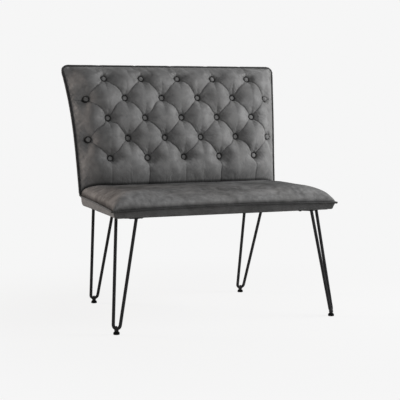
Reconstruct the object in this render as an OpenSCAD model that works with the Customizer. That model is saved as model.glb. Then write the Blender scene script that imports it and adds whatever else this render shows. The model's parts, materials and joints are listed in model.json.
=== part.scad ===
// Upholstered dining bench with a button-tufted back on hairpin legs, in millimetres.
// The bench faces -Y, Z is up, and the origin is on the floor under the middle of its box.
// Places along the back are written as (x, s, n): s runs up the back's seam line from the
// seat, and n is the distance in front of that line.

/* [Seat] */
// Width of the seat between its side seams at the front
seat_front_w = 892; // [700:1:1200]
// Width of the seat between its side seams where the back starts
seat_rear_w = 842; // [660:1:1150]
// Depth of the seat from the front seam to the foot of the back's seam
seat_d = 483; // [400:1:560]
// Height of the top of the seat above the floor
seat_top_z = 495; // [470:1:540]
// Height of the flat underside of the upholstery above the floor
underside_z = 410; // [380:1:412]
// Height of the seam at the front corners
seam_front_z = 437; // [433:1:445]
// Height of the seam where it turns up into the back
seam_rear_z = 452; // [446:1:462]
// Rise of the front seam between its two corners
seam_lift = 7; // [0:0.5:12]
// How far the front and side seams are drawn in between the corners
draw_in = 4; // [0:0.5:10]
// Corner radius of the seat at the front, in plan
seat_corner_r = 12; // [6:1:30]
// Distance over which the seat rolls down to its side seams
seat_side_roll = 105; // [60:1:160]
// Distance over which the seat rolls down to its front seam
seat_front_roll = 90; // [50:1:140]

/* [Back] */
// Width of the back between its side seams at the top
back_top_w = 924; // [760:1:1240]
// Length of the back along its seam, from the seat seam to the top seam
back_len = 521; // [430:1:620]
// Lean of the lower, straight part of the back from upright, in degrees
back_lean = 8; // [3:0.5:14]
// Length of the straight part before the back starts to roll away
back_straight = 190; // [120:1:260]
// Radius of the roll in the upper part of the back
back_bend_r = 1300; // [900:10:2200]
// Thickness of the padding in front of the back's seam line
back_crown = 82; // [70:1:95]
// Depth of the padded rear face behind the back's seam line
rear_depth = 20; // [18:0.5:26]
// Corner radius at the top of the back
back_corner_r = 28; // [18:1:45]
// Distance over which the padding falls to the side seams
back_side_roll = 125; // [90:1:160]
// Distance over which the padding falls to the top seam
back_top_roll = 100; // [70:1:130]

/* [Tufting] */
// How far the outermost buttons stand inside the back's sides at its narrower end
button_side_in = 34.75; // [28:0.25:74]
// Spacing of the button rows along the back's seam line
row_pitch = 77.2; // [70:0.2:79]
// Distance of the middle row from the foot of the back
middle_row_s = 293.8; // [285:0.2:300]
// Depth of the tufting at a button
tuft_depth = 20; // [12:0.5:24]
// Depth of the plain pleats that run out to the seams
pleat_depth = 7; // [3:0.5:10]
// Diameter of a covered button
button_d = 20; // [18:0.5:26]
// Height of a covered button over its rim
button_h = 5.5; // [4:0.5:8]

/* [Covers and welt] */
// Thickness of the leather covers
cover_t = 2.4; // [1.5:0.1:3]
// Diameter of the welt cord along the seam
welt_d = 7; // [5:0.5:9]
// How far the lower cover tucks in under the seat
tuck_in = 18; // [14:0.5:20]
// Width of the hem that the lower cover turns under the seat board
hem_w = 18; // [14:1:20]
// Thickness of the black cloth under the seat
dust_cover_t = 1; // [0.6:0.1:1.5]

/* [Boards and brackets] */
// Thickness of the plywood seat board
seat_board_t = 15; // [12:0.5:18]
// Thickness of the bent plywood back board
back_board_t = 12; // [9:0.5:14]
// How far the boards stay inside the seams
board_inset = 24; // [23:0.5:30]
// Thickness of the steel angle brackets
bracket_t = 4; // [3:0.5:5]
// Width of a bracket
bracket_w = 40; // [34:1:60]
// Length of a bracket's two legs
bracket_leg = 55; // [45:1:58]
// Spacing of the brackets across the bench
bracket_pitch = 320; // [316:1:328]
// Diameter of the bracket screws
screw_d = 5; // [4:0.5:6]

/* [Legs] */
// Diameter of the bent steel rod
rod_d = 12; // [10:0.5:14]
// Radius of the bend at the foot of a leg, to the rod's centre line
bend_r = 14.5; // [12:0.5:18]
// Angle between each rod and the middle line of its leg, in degrees
rod_spread = 4.1; // [3:0.1:5]
// How far the front feet stand inside the seat's front corners
front_foot_in = 13; // [8:1:60]
// Distance of the front feet behind the front seam
front_foot_y = 10; // [8:1:60]
// How far the rear feet stand inside the seat's rear corners
rear_foot_in = 93; // [60:1:120]
// How far the rear feet stand behind the foot of the back's seam
rear_foot_behind = 132; // [120:1:139]
// Outward lean of the front legs, in degrees
front_splay = 10.5; // [9:0.1:12]
// Direction of the front legs' lean, in degrees from straight sideways
front_turn = 40.5; // [35:0.5:46]
// Backward lean of the rear legs, in degrees
rear_splay = 19.8; // [18:0.1:20.5]
// Thickness of the plates that the rods are welded to
plate_t = 3; // [3:0.5:5]
// Length of a leg plate
plate_l = 98; // [98:1:116]
// Width of a leg plate, from the rods inwards
plate_w = 66; // [60:1:80]
// Diameter of the leg bolts
bolt_d = 6; // [5:0.5:7]

/* [Feet] */
// Diameter of a foot pad
pad_d = 23; // [18:0.5:30]
// Height of a foot pad
pad_h = 11; // [8:0.5:14]
// Diameter of the threaded stem
stem_d = 6; // [5:0.5:7]
// Width across the stem's hexagon
stem_hex = 13; // [10:0.5:14]
// Height of the stem's hexagon
stem_hex_h = 2.6; // [2:0.1:3]
// Diameter of the threaded boss welded under the bend
boss_d = 16; // [13:0.5:18]
// Length of thread that a foot can be wound out
foot_travel = 6; // [4:0.5:7]

/* [Hidden] */
// Running clearance, all round, of a stem in its thread
run_gap = 0.08;
// Gap left between soft pieces and what they lie on
soft_gap = 0.3;
// Gap left between hard pieces that are fitted together
fit_gap = 0.2;
// Power of the sine that shapes the seat's rolled edges
seat_roll_power = 0.5;
// Power of the sine that shapes the back's rolled edges
back_roll_power = 0.8;
// Width of the strip along a seam where the tufting fades out
seam_fade_w = 30;
// Share of the back's flare that grows evenly; the rest grows with the cube
flare_even = 0.45;
// Share of the tuft depth that a fold has lost half way between two buttons
fold_share = 0.4;
button_rows = 5;
half_rows = (button_rows - 1) / 2;
outer_column = 5;
outer_button_x = min(seat_rear_w, back_top_w) / 2 - button_side_in;
half_pitch = outer_button_x / outer_column;
welt_r = welt_d / 2;
seam_inset = welt_r + fit_gap;
rim_rise = cover_t + fit_gap / 2;
rod_r = rod_d / 2;
board_z = underside_z + dust_cover_t + cover_t - 0.4;
board_top_z = board_z + seat_board_t;
plate_z = underside_z - plate_t;
// Front and rear faces of the back board, in front of the seam line
board_n = back_board_t / 3;
board_rear_n = board_n - back_board_t;
// Gap between the foot of the back board and the hem under it
hem_gap = 1.5;
foam_drop = cover_t + soft_gap;
// Gap between the seat and the foot of the back's pad
pad_rest_gap = 0.4;
// Half the distance between the front feet and between the rear feet, and how far back they are
front_foot_x = seat_front_w / 2 - front_foot_in;
rear_foot_x = seat_rear_w / 2 - rear_foot_in;
rear_foot_y = seat_d + rear_foot_behind;
// Sine of the front legs' lean, towards the front
front_lean_share = sin(front_turn) * sin(front_splay);
// Foremost point of a front leg's bend
bend_front_y = front_foot_y - rod_r
    + bend_r * (front_lean_share - sqrt(pow(front_lean_share, 2) + pow(cos(front_turn), 2)));
// Middle of the bench's depth, behind the front seam
y_mid = (rear_foot_y + pad_d / 2 + min(-welt_r, bend_front_y)) / 2;
tiny = 0.01;
big = 2000;
leather = "#646464";
leather_dark = "#3c3c3d";
steel_black = "#1d1e20";
zinc = "#b5b8bb";
plywood = "#c9a671";
foam_tint = "#e3d9b0";

// General functions

function clamp01(t) = min(1, max(0, t));
function unit(v) = v / norm(v);
function turned(v, a) = [v.x * cos(a) - v.y * sin(a), v.x * sin(a) + v.y * cos(a)];
function smooth(t) = let (c = clamp01(t)) c * c * (3 - 2 * c);
// Height of a rolled edge, from 0 at the seam to 1 at the end of the roll
function roll(d, reach, power) = pow(sin(90 * clamp01(d / reach)), power);
// How far a rounded corner of radius r pulls the side in, at distance e from the end
function corner_cut(e, r) = e >= r ? 0 : r - sqrt(r * r - (r - e) * (r - e));
// Points of a convex outline, listed anticlockwise, with corner i rounded to radius r[i]
function rounded(pts, r, steps) = [
    for (i = [0:len(pts) - 1])
        let (
            before = unit(pts[(i + len(pts) - 1) % len(pts)] - pts[i]),
            after = unit(pts[(i + 1) % len(pts)] - pts[i]),
            half = acos(before * after) / 2,
            centre = pts[i] + unit(before + after) * r[i] / sin(half),
            start = pts[i] + before * r[i] / tan(half) - centre
        )
        for (k = [0:steps]) centre + turned(start, (180 - 2 * half) * k / steps)
];
// A rounded outline with the straight stretch after each corner cut into counts[corner] pieces
function divided(pts, steps, counts) = [
    for (i = [0:len(pts) - 1])
        let (
            a = pts[i],
            b = pts[(i + 1) % len(pts)],
            n = i % (steps + 1) == steps ? counts[floor(i / (steps + 1))] : 1
        )
        for (k = [0:n - 1]) a + (b - a) * k / n
];

// Shape of the seat

function seat_hw(y) =
    seat_front_w / 2 + (seat_rear_w - seat_front_w) / 2 * clamp01(y / seat_d);
// Sideways and backward pull of the seams between the corners
function drawn(x, y) =
    let (u = x / seat_hw(y), v = clamp01(y / seat_d))
    [x - draw_in * u * abs(u) * sin(180 * v), y + draw_in * (1 - u * u) * (1 - v)];
function seam_z(x, y) =
    let (u = min(1, abs(x) / seat_hw(y)), v = clamp01(y / seat_d))
    seam_front_z + (seam_rear_z - seam_front_z) * v + seam_lift * (1 - u * u) * (1 - v);
// Height of the seat's outer surface
function seat_z(x, y) =
    let (
        edge = seam_z(x, y) + rim_rise,
        side = roll(seat_hw(y) - seam_inset - abs(x), seat_side_roll, seat_roll_power),
        front = roll(y - seam_inset, seat_front_roll, seat_roll_power)
    )
    edge + (seat_top_z - edge) * side * front;

// Shape of the back

function lean_at(s) = back_lean + max(0, s - back_straight) / back_bend_r * 180 / PI;
function back_y(s, n) =
    seat_d + min(s, back_straight) * sin(back_lean)
    + back_bend_r * (cos(back_lean) - cos(lean_at(s))) - n * cos(lean_at(s));
function back_z(s, n) =
    seam_rear_z + min(s, back_straight) * cos(back_lean)
    + back_bend_r * (sin(lean_at(s)) - sin(back_lean)) + n * sin(lean_at(s));
function back_point(x, s, n) = [x, back_y(s, n), back_z(s, n)];
function back_hw(s) =
    let (u = clamp01(s / back_len))
    (seat_rear_w + (back_top_w - seat_rear_w) * (flare_even * u + (1 - flare_even) * pow(u, 3))) / 2;
// Half width inside the seam, with the rounded top corner, inset by a distance
function back_inner_hw(s, inset) =
    back_hw(s) - inset - corner_cut(back_len - inset - s, max(1, back_corner_r - inset));
// Padding without its tufts
function back_pad(x, s) =
    rim_rise + (back_crown - rim_rise)
    * roll(back_hw(s) - seam_inset - abs(x), back_side_roll, back_roll_power)
    * roll(back_len - seam_inset - s, back_top_roll, back_roll_power);
// Depth of the tufting: diamonds between the buttons, and plain pleats out to the seams
function tuft(x, s) =
    let (
        column = abs(x) / half_pitch,
        row = (s - middle_row_s) / row_pitch,
        a = min(column, outer_column),
        b = max(-half_rows, min(half_rows, row)),
        one = abs(sin(90 * (a + b))),
        other = abs(sin(90 * (a - b))),
        outside = max(abs(row) - half_rows, column - outer_column, 0),
        depth = tuft_depth + (pleat_depth - tuft_depth) * smooth(2 * outside),
        puff = fold_share * pow(max(one, other), 0.8)
            + (1 - fold_share) * pow(one * other, 0.6)
    )
    depth * (1 - puff);
// Share of the tufting that is left near a seam
function seam_fade(x, s) =
    clamp01(min(back_hw(s) - seam_inset - abs(x), back_len - seam_inset - s) / seam_fade_w);
function back_n(x, s) = back_pad(x, s) - tuft(x, s) * seam_fade(x, s);
// Place along the back where a point n in front of the seam line meets the seat
function foot_s(x, n) =
    (seat_z(x, seat_d - n * cos(back_lean)) + pad_rest_gap - seam_rear_z
    - n * sin(back_lean)) / cos(back_lean);
button_places = [
    for (row = [-half_rows:half_rows], column = [-outer_column:outer_column])
        if ((row + column) % 2 == 0) [column * half_pitch, middle_row_s + row * row_pitch]
];

// Closed solids from grids of points

// Faces of a closed solid between two grids of rows by columns, the second behind the first
function skin_faces(rows, columns) =
    let (back = rows * columns)
    concat(
        [for (j = [0:rows - 2], i = [0:columns - 2]) each cell_faces(j * columns + i, columns, 0,
            (i < (columns - 1) / 2) == (j % 2 == 0))],
        [for (j = [0:rows - 2], i = [0:columns - 2]) each cell_faces(j * columns + i, columns, back,
            (i < (columns - 1) / 2) == (j % 2 == 0))],
        [for (i = [0:columns - 2]) each wall_faces(i, i + 1, back)],
        [for (i = [0:columns - 2])
            each wall_faces((rows - 1) * columns + i + 1, (rows - 1) * columns + i, back)],
        [for (j = [0:rows - 2]) each wall_faces((j + 1) * columns, j * columns, back)],
        [for (j = [0:rows - 2])
            each wall_faces((j + 1) * columns - 1, (j + 2) * columns - 1, back)]
    );
// Two triangles of one grid cell; back is 0 in the front grid
function cell_faces(p, columns, back, rising) =
    let (q = p + back, r = q + 1, t = q + columns, u = t + 1)
    let (f = rising ? [[q, u, r], [q, t, u]] : [[q, t, r], [r, t, u]])
    back == 0 ? f : [for (g = f) [g[0], g[2], g[1]]];
function wall_faces(p, q, back) = [[p, q, q + back], [p, q + back, p + back]];

// A solid between two grids, given as lists of rows
module skin(front, rear) {
    polyhedron(
        points = concat([for (row = front) each row], [for (row = rear) each row]),
        faces = skin_faces(len(front), len(front[0]))
    );
}

// Places of the grid lines, as distances from a seam
seat_rows = [for (share = [0, 0.03, 0.1, 0.25, 0.5, 1]) share * seat_front_roll];
top_rows = [0, 4, 12, 26, 46];
// Places of the last grid columns, as shares of the way from the outer button to the seam,
// and the most that each may stand off the seam
edge_share = [0.42, 0.74, 0.92, 1];
edge_most = [60, 11, 3.5, 0];
grid_columns = 2 * outer_column;
// Places of the grid columns across a piece of half width hw
function columns_x(hw) =
    let (lines = [
        for (k = [0:3]) hw - min(edge_most[k], (hw - outer_button_x) * (1 - edge_share[k]))
    ])
    concat(
        [for (k = [3:-1:0]) -lines[k]],
        [for (k = [-grid_columns:grid_columns]) k * half_pitch / 2],
        lines
    );

// Boards, brackets and their screws

// A slab that follows the back, between two distances from the seam line
module back_slab(n_rear, n_front, inset) {
    low = board_z - seam_rear_z - 10;
    top = back_len - inset;
    stations = concat([low, 0], [for (k = [0:12]) back_straight + (top - back_straight) * k / 12]);
    profile = concat(
        [for (s = stations) [back_y(s, n_front), back_z(s, n_front)]],
        [for (k = [len(stations) - 1:-1:0]) [back_y(stations[k], n_rear), back_z(stations[k], n_rear)]]
    );
    intersection() {
        rotate([90, 0, 90]) translate([0, 0, -big / 2]) linear_extrude(big) polygon(profile);
        rotate([90, 0, 0]) translate([0, 0, -big / 2]) linear_extrude(big)
            back_outline(inset);
    }
}

// Front view of a slab of the back
module back_outline(inset) {
    r = back_corner_r - 8;
    top = back_len - inset;
    side = concat(
        [[seat_rear_w / 2 - inset, board_z + hem_gap]],
        [for (k = [0:10]) let (s = (top - r) * k / 10) [back_hw(s) - inset, back_z(s, 0)]],
        [for (k = [1:6]) let (s = top - r * (1 - sin(15 * k)))
            [back_hw(s) - inset - r * (1 - cos(15 * k)), back_z(s, 0)]],
        [[back_hw(top) - inset - r, back_z(top, 0) + 40]]
    );
    polygon(concat(side, [for (k = [len(side) - 1:-1:0]) [-side[k].x, side[k].y]]));
}

// Puts children on the back, with +Z pointing out of it and +Y up along it
module on_back(x, s, n) {
    translate(back_point(x, s, n)) rotate([90 - lean_at(s), 0, 0]) children();
}

module back_board() {
    color(plywood) translate([0, -y_mid, 0]) difference() {
        back_slab(board_rear_n, board_n, board_inset);
        for (b = button_places)
            on_back(b.x, b.y, board_rear_n - 5) cylinder(d = 5, h = back_board_t + 10, $fn = 24);
        for (k = [-1:1]) bracket_place(k) back_screws() cylinder(d = screw_d, h = 9.5, $fn = 24);
    }
}

// Rear edge of the seat board, where the back board stands behind it
board_rear_y = back_y((board_z - seam_rear_z) / cos(back_lean), board_n) - fit_gap - 1;

// Outline of a layer of the seat, inset from the seams and rounded at its corners
function plan(inset, rear_y, r_front, r_rear) = rounded(
    [
        [-seat_hw(0) + inset, inset], [seat_hw(0) - inset, inset],
        [seat_hw(rear_y) - inset, rear_y], [-seat_hw(rear_y) + inset, rear_y]
    ],
    [r_front, r_front, r_rear, r_rear], 4);

module seat_board() {
    color(plywood) translate([0, -y_mid, 0]) difference() {
        translate([0, 0, board_z]) linear_extrude(seat_board_t)
            polygon(plan(board_inset, board_rear_y, 14, 6));
        leg_bolt_places() {
            translate([0, 0, board_z - 1])
                cylinder(d = barrel_d + 2 * fit_gap, h = seat_board_t + 2, $fn = 32);
            translate([0, 0, board_top_z - flange_t - fit_gap])
                cylinder(d = flange_d + 2 * fit_gap, h = 3, $fn = 32);
        }
        for (k = [-1:1]) bracket_place(k) seat_screws() cylinder(d = screw_d, h = 12, $fn = 24);
    }
}

// Brackets stand in the corner between the seat board and the back board.
// Their own frame has +Y towards the front along the seat board and +Z up.
bracket_y = back_y((board_top_z - seam_rear_z) / cos(back_lean), board_n) - 2 * fit_gap;
module bracket_place(k) {
    translate([k * bracket_pitch, bracket_y, board_top_z]) children();
}
// Distance of the screws from the corner of a bracket, and from its middle
bracket_hole = bracket_leg * 0.68;
screw_spread = bracket_w / 4;
// Puts children at the screws of the flat leg, with +Z down into the seat board
module seat_screws() {
    for (side = [-1, 1])
        translate([side * screw_spread, -bracket_hole, bracket_t]) rotate([180, 0, 0])
            translate([0, 0, tiny]) children();
}
// Puts children at the screws of the upright leg, with +Z back into the back board
module back_screws() {
    for (side = [-1, 1])
        rotate([-back_lean, 0, 0]) translate([side * screw_spread, -bracket_t, bracket_hole])
            rotate([-90, 0, 0]) translate([0, 0, tiny]) children();
}
// Side view of a bracket, with its outer corner at the origin
bracket_profile = [
    [-bracket_leg, 0], [0, 0],
    bracket_leg * [sin(back_lean), cos(back_lean)],
    bracket_leg * [sin(back_lean), cos(back_lean)] - bracket_t * [cos(back_lean), -sin(back_lean)],
    [bracket_t * ((1 - sin(back_lean)) * tan(back_lean) - cos(back_lean)), bracket_t],
    [-bracket_leg, bracket_t]
];
module bracket(k) {
    color(zinc) translate([0, -y_mid, 0]) bracket_place(k) difference() {
        rotate([90, 0, 90]) translate([0, 0, -bracket_w / 2]) linear_extrude(bracket_w)
            polygon(bracket_profile);
        seat_screws() translate([0, 0, -1])
            cylinder(d = screw_d + 2 * fit_gap, h = bracket_t + 2, $fn = 24);
        back_screws() translate([0, 0, -1])
            cylinder(d = screw_d + 2 * fit_gap, h = bracket_t + 2, $fn = 24);
    }
}
module bracket_left() { bracket(-1); }
module bracket_centre() { bracket(0); }
module bracket_right() { bracket(1); }

// A pan-head screw that lies with its head on a bracket
module pan_screw(length) {
    translate([0, 0, -2.6]) cylinder(d = screw_d * 1.9, h = 2.6, $fn = 24);
    translate([0, 0, -1]) cylinder(d = screw_d - fit_gap, h = length + 1, $fn = 24);
}
module bracket_screws() {
    color(zinc) translate([0, -y_mid, 0]) for (k = [-1:1]) bracket_place(k) {
        seat_screws() translate([0, 0, -tiny]) pan_screw(11.5);
        back_screws() translate([0, 0, -tiny]) pan_screw(9);
    }
}

// Seat upholstery

// Rear end of the seat pad, in front of the back board
seat_rear_y = back_y((board_top_z - seam_rear_z) / cos(back_lean), board_n) - 3 * fit_gap;
// One surface of the seat, side_in and drop inside the outer one
function seat_grid(side_in, drop) =
    [
        for (d = seat_rows) seat_row(seam_inset + side_in + d, side_in, drop),
        for (k = [1:4])
            seat_row(seat_front_roll + (seat_rear_y - seat_front_roll) * k / 5, side_in, drop),
        seat_row(seat_rear_y, side_in, drop)
    ];
function seat_row(y, side_in, drop) =
    let (
        inset = seam_inset + side_in,
        hw = seat_hw(y) - inset - corner_cut(y - inset, max(1, seat_corner_r - side_in))
    )
    [for (x = columns_x(hw)) let (p = drawn(x, y)) [p.x, p.y, seat_z(x, y) - drop]];

module seat_cover() {
    color(leather) translate([0, -y_mid, 0])
        skin(seat_grid(0, 0), seat_grid(cover_t, cover_t));
}

module seat_foam() {
    top = seat_grid(foam_drop + soft_gap, foam_drop + soft_gap);
    bottom = [for (row = top) [for (p = row) [p.x, p.y, board_top_z + soft_gap]]];
    color(foam_tint) translate([0, -y_mid, 0]) difference() {
        skin(top, bottom);
        for (k = [-1:1]) bracket_place(k) {
            translate([-bracket_w / 2 - 2, -bracket_leg - 2, -1])
                cube([bracket_w + 4, bracket_leg + 20, bracket_t + 5]);
            translate([-bracket_w / 2 - 2, -bracket_t - 6, -1])
                cube([bracket_w + 4, bracket_leg + 5, bracket_leg + 3.5]);
        }
    }
}

// Rings of the lower cover: how far in, and how high between underside and seam
lower_rings = [[0.5, 1], [-1.2, 0.7], [1.5, 0.38], [6.5, 0.14], [12, 0.03]];
module seat_lower_cover() {
    outside = concat(
        [for (r = lower_rings) [seam_inset + r[0], r[1]]],
        [[tuck_in, 0], [tuck_in + hem_w, 0]]
    );
    inside = [for (k = [len(outside) - 1:-1:0]) outside[k]];
    rings = concat(
        [for (r = outside) lower_ring(r[0], r[1], 0)],
        [for (k = [0:len(inside) - 1]) lower_ring(
            inside[k][0] + (k == 0 ? 0 : cover_t), inside[k][1], k < 2 || inside[k][1] < 0.01 ? 1 : 0.5)]
    );
    count = len(rings[0]);
    color(leather_dark) translate([0, -y_mid, 0]) polyhedron(
        points = [for (r = rings) each r],
        faces = [
            for (j = [0:len(rings) - 1], i = [0:count - 1])
                let (
                    a = j * count + i,
                    b = j * count + (i + 1) % count,
                    c = ((j + 1) % len(rings)) * count + (i + 1) % count,
                    d = ((j + 1) % len(rings)) * count + i
                )
                each [[a, b, c], [a, c, d]]
        ]
    );
}
function lower_ring(inset, rise, lift) =
    let (
        rear_y = seat_d + rear_depth - inset,
        front_r = max(1, seat_corner_r - inset),
        rear_r = max(1, 24 - inset),
        low = underside_z + dust_cover_t
    )
    [
        for (q = divided(plan(inset, rear_y, front_r, rear_r), 4, [8, 8, 2, 8]))
            let (p = drawn(q.x, q.y), rim = seam_z(q.x, q.y) - fit_gap / 2)
            [p.x, p.y, low + (rim - low) * rise + (cover_t - 0.6) * lift * (1 - rise)]
    ];

module dust_cover() {
    color("#161616") translate([0, -y_mid, underside_z]) difference() {
        linear_extrude(dust_cover_t - 0.1)
            polygon(plan(tuck_in + 4, seat_d + rear_depth - tuck_in - 4, 10, 10));
        translate([0, 0, -underside_z]) leg_bolt_places()
            translate([0, 0, underside_z - 1]) cylinder(d = bolt_d + 1, h = 4, $fn = 24);
    }
}

// Back upholstery

// Places of the grid rows up the back, above the row that stands on the seat
function back_rows(side_in) = concat(
    [58, middle_row_s - (half_rows + 0.55) * row_pitch],
    [for (k = [-2 * half_rows:2 * half_rows]) middle_row_s + k * row_pitch / 2],
    [for (k = [4:-1:0]) back_len - seam_inset - side_in - top_rows[k]]
);
// One surface of the tufted pad, side_in inside the seams and drop behind the outer one
function back_grid(side_in, drop) = concat(
    [back_foot_row(side_in, drop)],
    [for (s = back_rows(side_in)) back_row(s, side_in, drop)]
);
function back_row(s, side_in, drop) = [
    for (x = columns_x(back_inner_hw(s, seam_inset + side_in)))
        back_point(x, s, back_n(x, s) - drop)
];
function back_foot_row(side_in, drop) = [
    for (x = columns_x(back_inner_hw(20, seam_inset + side_in)))
        let (n = back_n(x, 30) - drop) back_point(x, foot_s(x, n), n)
];

module back_tufted_cover() {
    color(leather) translate([0, -y_mid, 0]) difference() {
        skin(back_grid(0, 0), back_grid(cover_t, cover_t));
        for (b = button_places)
            on_back(b.x, b.y, back_n(b.x, b.y) - 8) cylinder(d = 4, h = 16, $fn = 4);
    }
}

// The foam ends this many grid lines short of the seams
foam_lines_in = 2;
module back_foam() {
    cover = back_grid(cover_t, foam_drop);
    rows = len(cover) - foam_lines_in;
    last = len(cover[0]) - 1 - foam_lines_in;
    rear_n = board_n + soft_gap;
    front = [for (j = [0:rows - 1]) [for (i = [foam_lines_in:last]) cover[j][i]]];
    rear = [
        for (j = [0:rows - 1]) [
            for (p = front[j])
                back_point(p.x, j == 0 ? foot_s(p.x, rear_n) : back_rows(cover_t)[j - 1], rear_n)
        ]
    ];
    color(foam_tint) translate([0, -y_mid, 0]) difference() {
        skin(front, rear);
        for (b = button_places)
            on_back(b.x, b.y, board_n - 2) cylinder(d = 6, h = back_crown, $fn = 4);
    }
}

module back_wadding() {
    color("#e9e9e6") translate([0, -y_mid, 0]) intersection() {
        back_slab(-rear_depth + cover_t + 3 * soft_gap, board_rear_n - 5, board_inset + 4);
        translate([-big / 2, -big / 2, seam_rear_z]) cube(big);
    }
}

// Places of the rear cover's grid lines, as distances from a seam
rear_lines = [0, 2, 6, 13, 24];
function rear_n(d_side, d_top) = -rim_rise - (rear_depth - rim_rise)
    * roll(d_side, 24, 0.5) * roll(d_top, 24, 0.5);
function rear_row(s, side_in, rise) =
    let (hw = back_inner_hw(s, seam_inset + side_in))
    [
        for (x = concat([for (d = rear_lines) -hw + d], [for (k = [4:-1:0]) hw - rear_lines[k]]))
            let (
                n = rear_n(back_hw(s) - seam_inset - abs(x), back_len - seam_inset - s) + rise,
                at_foot = (seam_rear_z + fit_gap - seam_rear_z - n * sin(back_lean)) / cos(back_lean)
            )
            back_point(x, max(s, at_foot), n)
    ];
function rear_grid(side_in, rise) = [
    for (s = concat([for (k = [0:3]) back_straight * k / 3],
        [for (k = [1:7]) back_straight + (back_len - 40 - back_straight) * k / 7],
        [for (k = [4:-1:0]) back_len - seam_inset - side_in - rear_lines[k]]))
        rear_row(s, side_in, rise)
];
module back_rear_cover() {
    color(leather_dark) translate([0, -y_mid, 0])
        skin(rear_grid(cover_t, cover_t), rear_grid(0, 0));
}

// Welt

// Half of the welt's route, from the middle of the front seam to the middle of the top one.
// Each entry is a point and the direction that points out of the cover there.
function seat_seam(x, y) = let (p = drawn(x, y)) [[p.x, p.y, seam_z(x, y)], [0, 0, 1]];
function back_seam(x, s) = [back_point(x, s, 0), [0, -cos(lean_at(s)), sin(lean_at(s))]];
half_route = concat(
    [for (k = [0:5]) seat_seam((seat_hw(0) - seat_corner_r) * k / 5, 0)],
    [for (k = [1:4]) seat_seam(
        seat_hw(0) - seat_corner_r * (1 - sin(22.5 * k)), seat_corner_r * (1 - cos(22.5 * k)))],
    [for (k = [1:6]) let (y = seat_corner_r + (seat_d - 8 - seat_corner_r) * k / 6)
        seat_seam(seat_hw(y), y)],
    [[[seat_rear_w / 2, seat_d - 0.8, seam_rear_z + 1.6], unit([0, -1, 1])]],
    [for (k = [0:9]) let (s = 9 + (back_len - back_corner_r - 9) * k / 9)
        back_seam(back_hw(s), s)],
    [for (k = [1:4]) let (s = back_len - back_corner_r * (1 - sin(22.5 * k)))
        back_seam(back_hw(s) - back_corner_r * (1 - cos(22.5 * k)), s)],
    [for (k = [3:-1:0]) back_seam((back_hw(back_len) - back_corner_r) * k / 4, back_len)]
);
function mirrored(e) = [[-e[0].x, e[0].y, e[0].z], [-e[1].x, e[1].y, e[1].z]];
welt_route = concat(
    half_route,
    [for (k = [len(half_route) - 2:-1:1]) mirrored(half_route[k])]
);
module welt() {
    sides = 6;
    count = len(welt_route);
    color(leather_dark) translate([0, -y_mid, 0]) polyhedron(
        points = [
            for (k = [0:count - 1])
                let (
                    p = welt_route[k][0],
                    along = unit(welt_route[(k + 1) % count][0]
                        - welt_route[(k + count - 1) % count][0]),
                    out = unit(welt_route[k][1] - (welt_route[k][1] * along) * along),
                    across = cross(along, out)
                )
                for (i = [0:sides - 1])
                    p + welt_r * (cos(360 * i / sides) * out + sin(360 * i / sides) * across)
        ],
        faces = [
            for (k = [0:count - 1], i = [0:sides - 1])
                let (
                    a = k * sides + i,
                    b = k * sides + (i + 1) % sides,
                    c = ((k + 1) % count) * sides + (i + 1) % sides,
                    d = ((k + 1) % count) * sides + i
                )
                each [[a, c, b], [a, d, c]]
        ]
    );
}

// Buttons and what holds them

// How far a button's rim stands over its shank, to clear the folds round it
rim_lift = 3.4;
// How far the shank stands over the bottom of the pit
shank_lift = 2.4;
function button_n(b) =
    let (r = button_d / 2)
    back_n(b.x, b.y) + shank_lift
    + max(abs(back_pad(abs(b.x) + r, b.y) - back_pad(b.x, b.y)),
        abs(back_pad(b.x, b.y + r) - back_pad(b.x, b.y)));
module back_buttons() {
    color(leather) translate([0, -y_mid, 0]) for (b = button_places)
        on_back(b.x, b.y, button_n(b)) rotate_extrude($fn = 32) polygon(concat(
            [[0, 0], [4, 0], [button_d / 2, rim_lift]],
            [for (k = [1:4]) [button_d / 2 * cos(22.5 * k), rim_lift + button_h * sin(22.5 * k)]]
        ));
}
// Radius and thickness of the discs that the cords are tied to
anchor_r = 10;
anchor_t = 1.6;
module button_cords() {
    end_n = board_rear_n - anchor_t - fit_gap;
    color("#e8e4d8") translate([0, -y_mid, 0]) for (b = button_places) {
        on_back(b.x, b.y, end_n - 0.2) cylinder(d = 2.2, h = button_n(b) - end_n + 0.2, $fn = 16);
        on_back(b.x, b.y, end_n - 2.2) cylinder(d = 5, h = 2.1, $fn = 16);
    }
}
module button_anchors() {
    color("#d8d8d8") translate([0, -y_mid, 0]) for (b = button_places)
        on_back(b.x, b.y, board_rear_n - anchor_t - 0.1) difference() {
            cylinder(r = anchor_r, h = anchor_t, $fn = 32);
            translate([0, 0, -1]) cylinder(d = 3, h = anchor_t + 2, $fn = 16);
        }
}

// Legs. A leg's own frame has its origin at the lowest point of the bend's centre line,
// +X along the outward lean and +Y from rod to rod.

// Underside of the boss, and middle line of the rod at the lowest point of the bend
boss_z = pad_h + stem_hex_h + 0.6;
bend_z = boss_z + 0.8 + rod_r;
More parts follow.
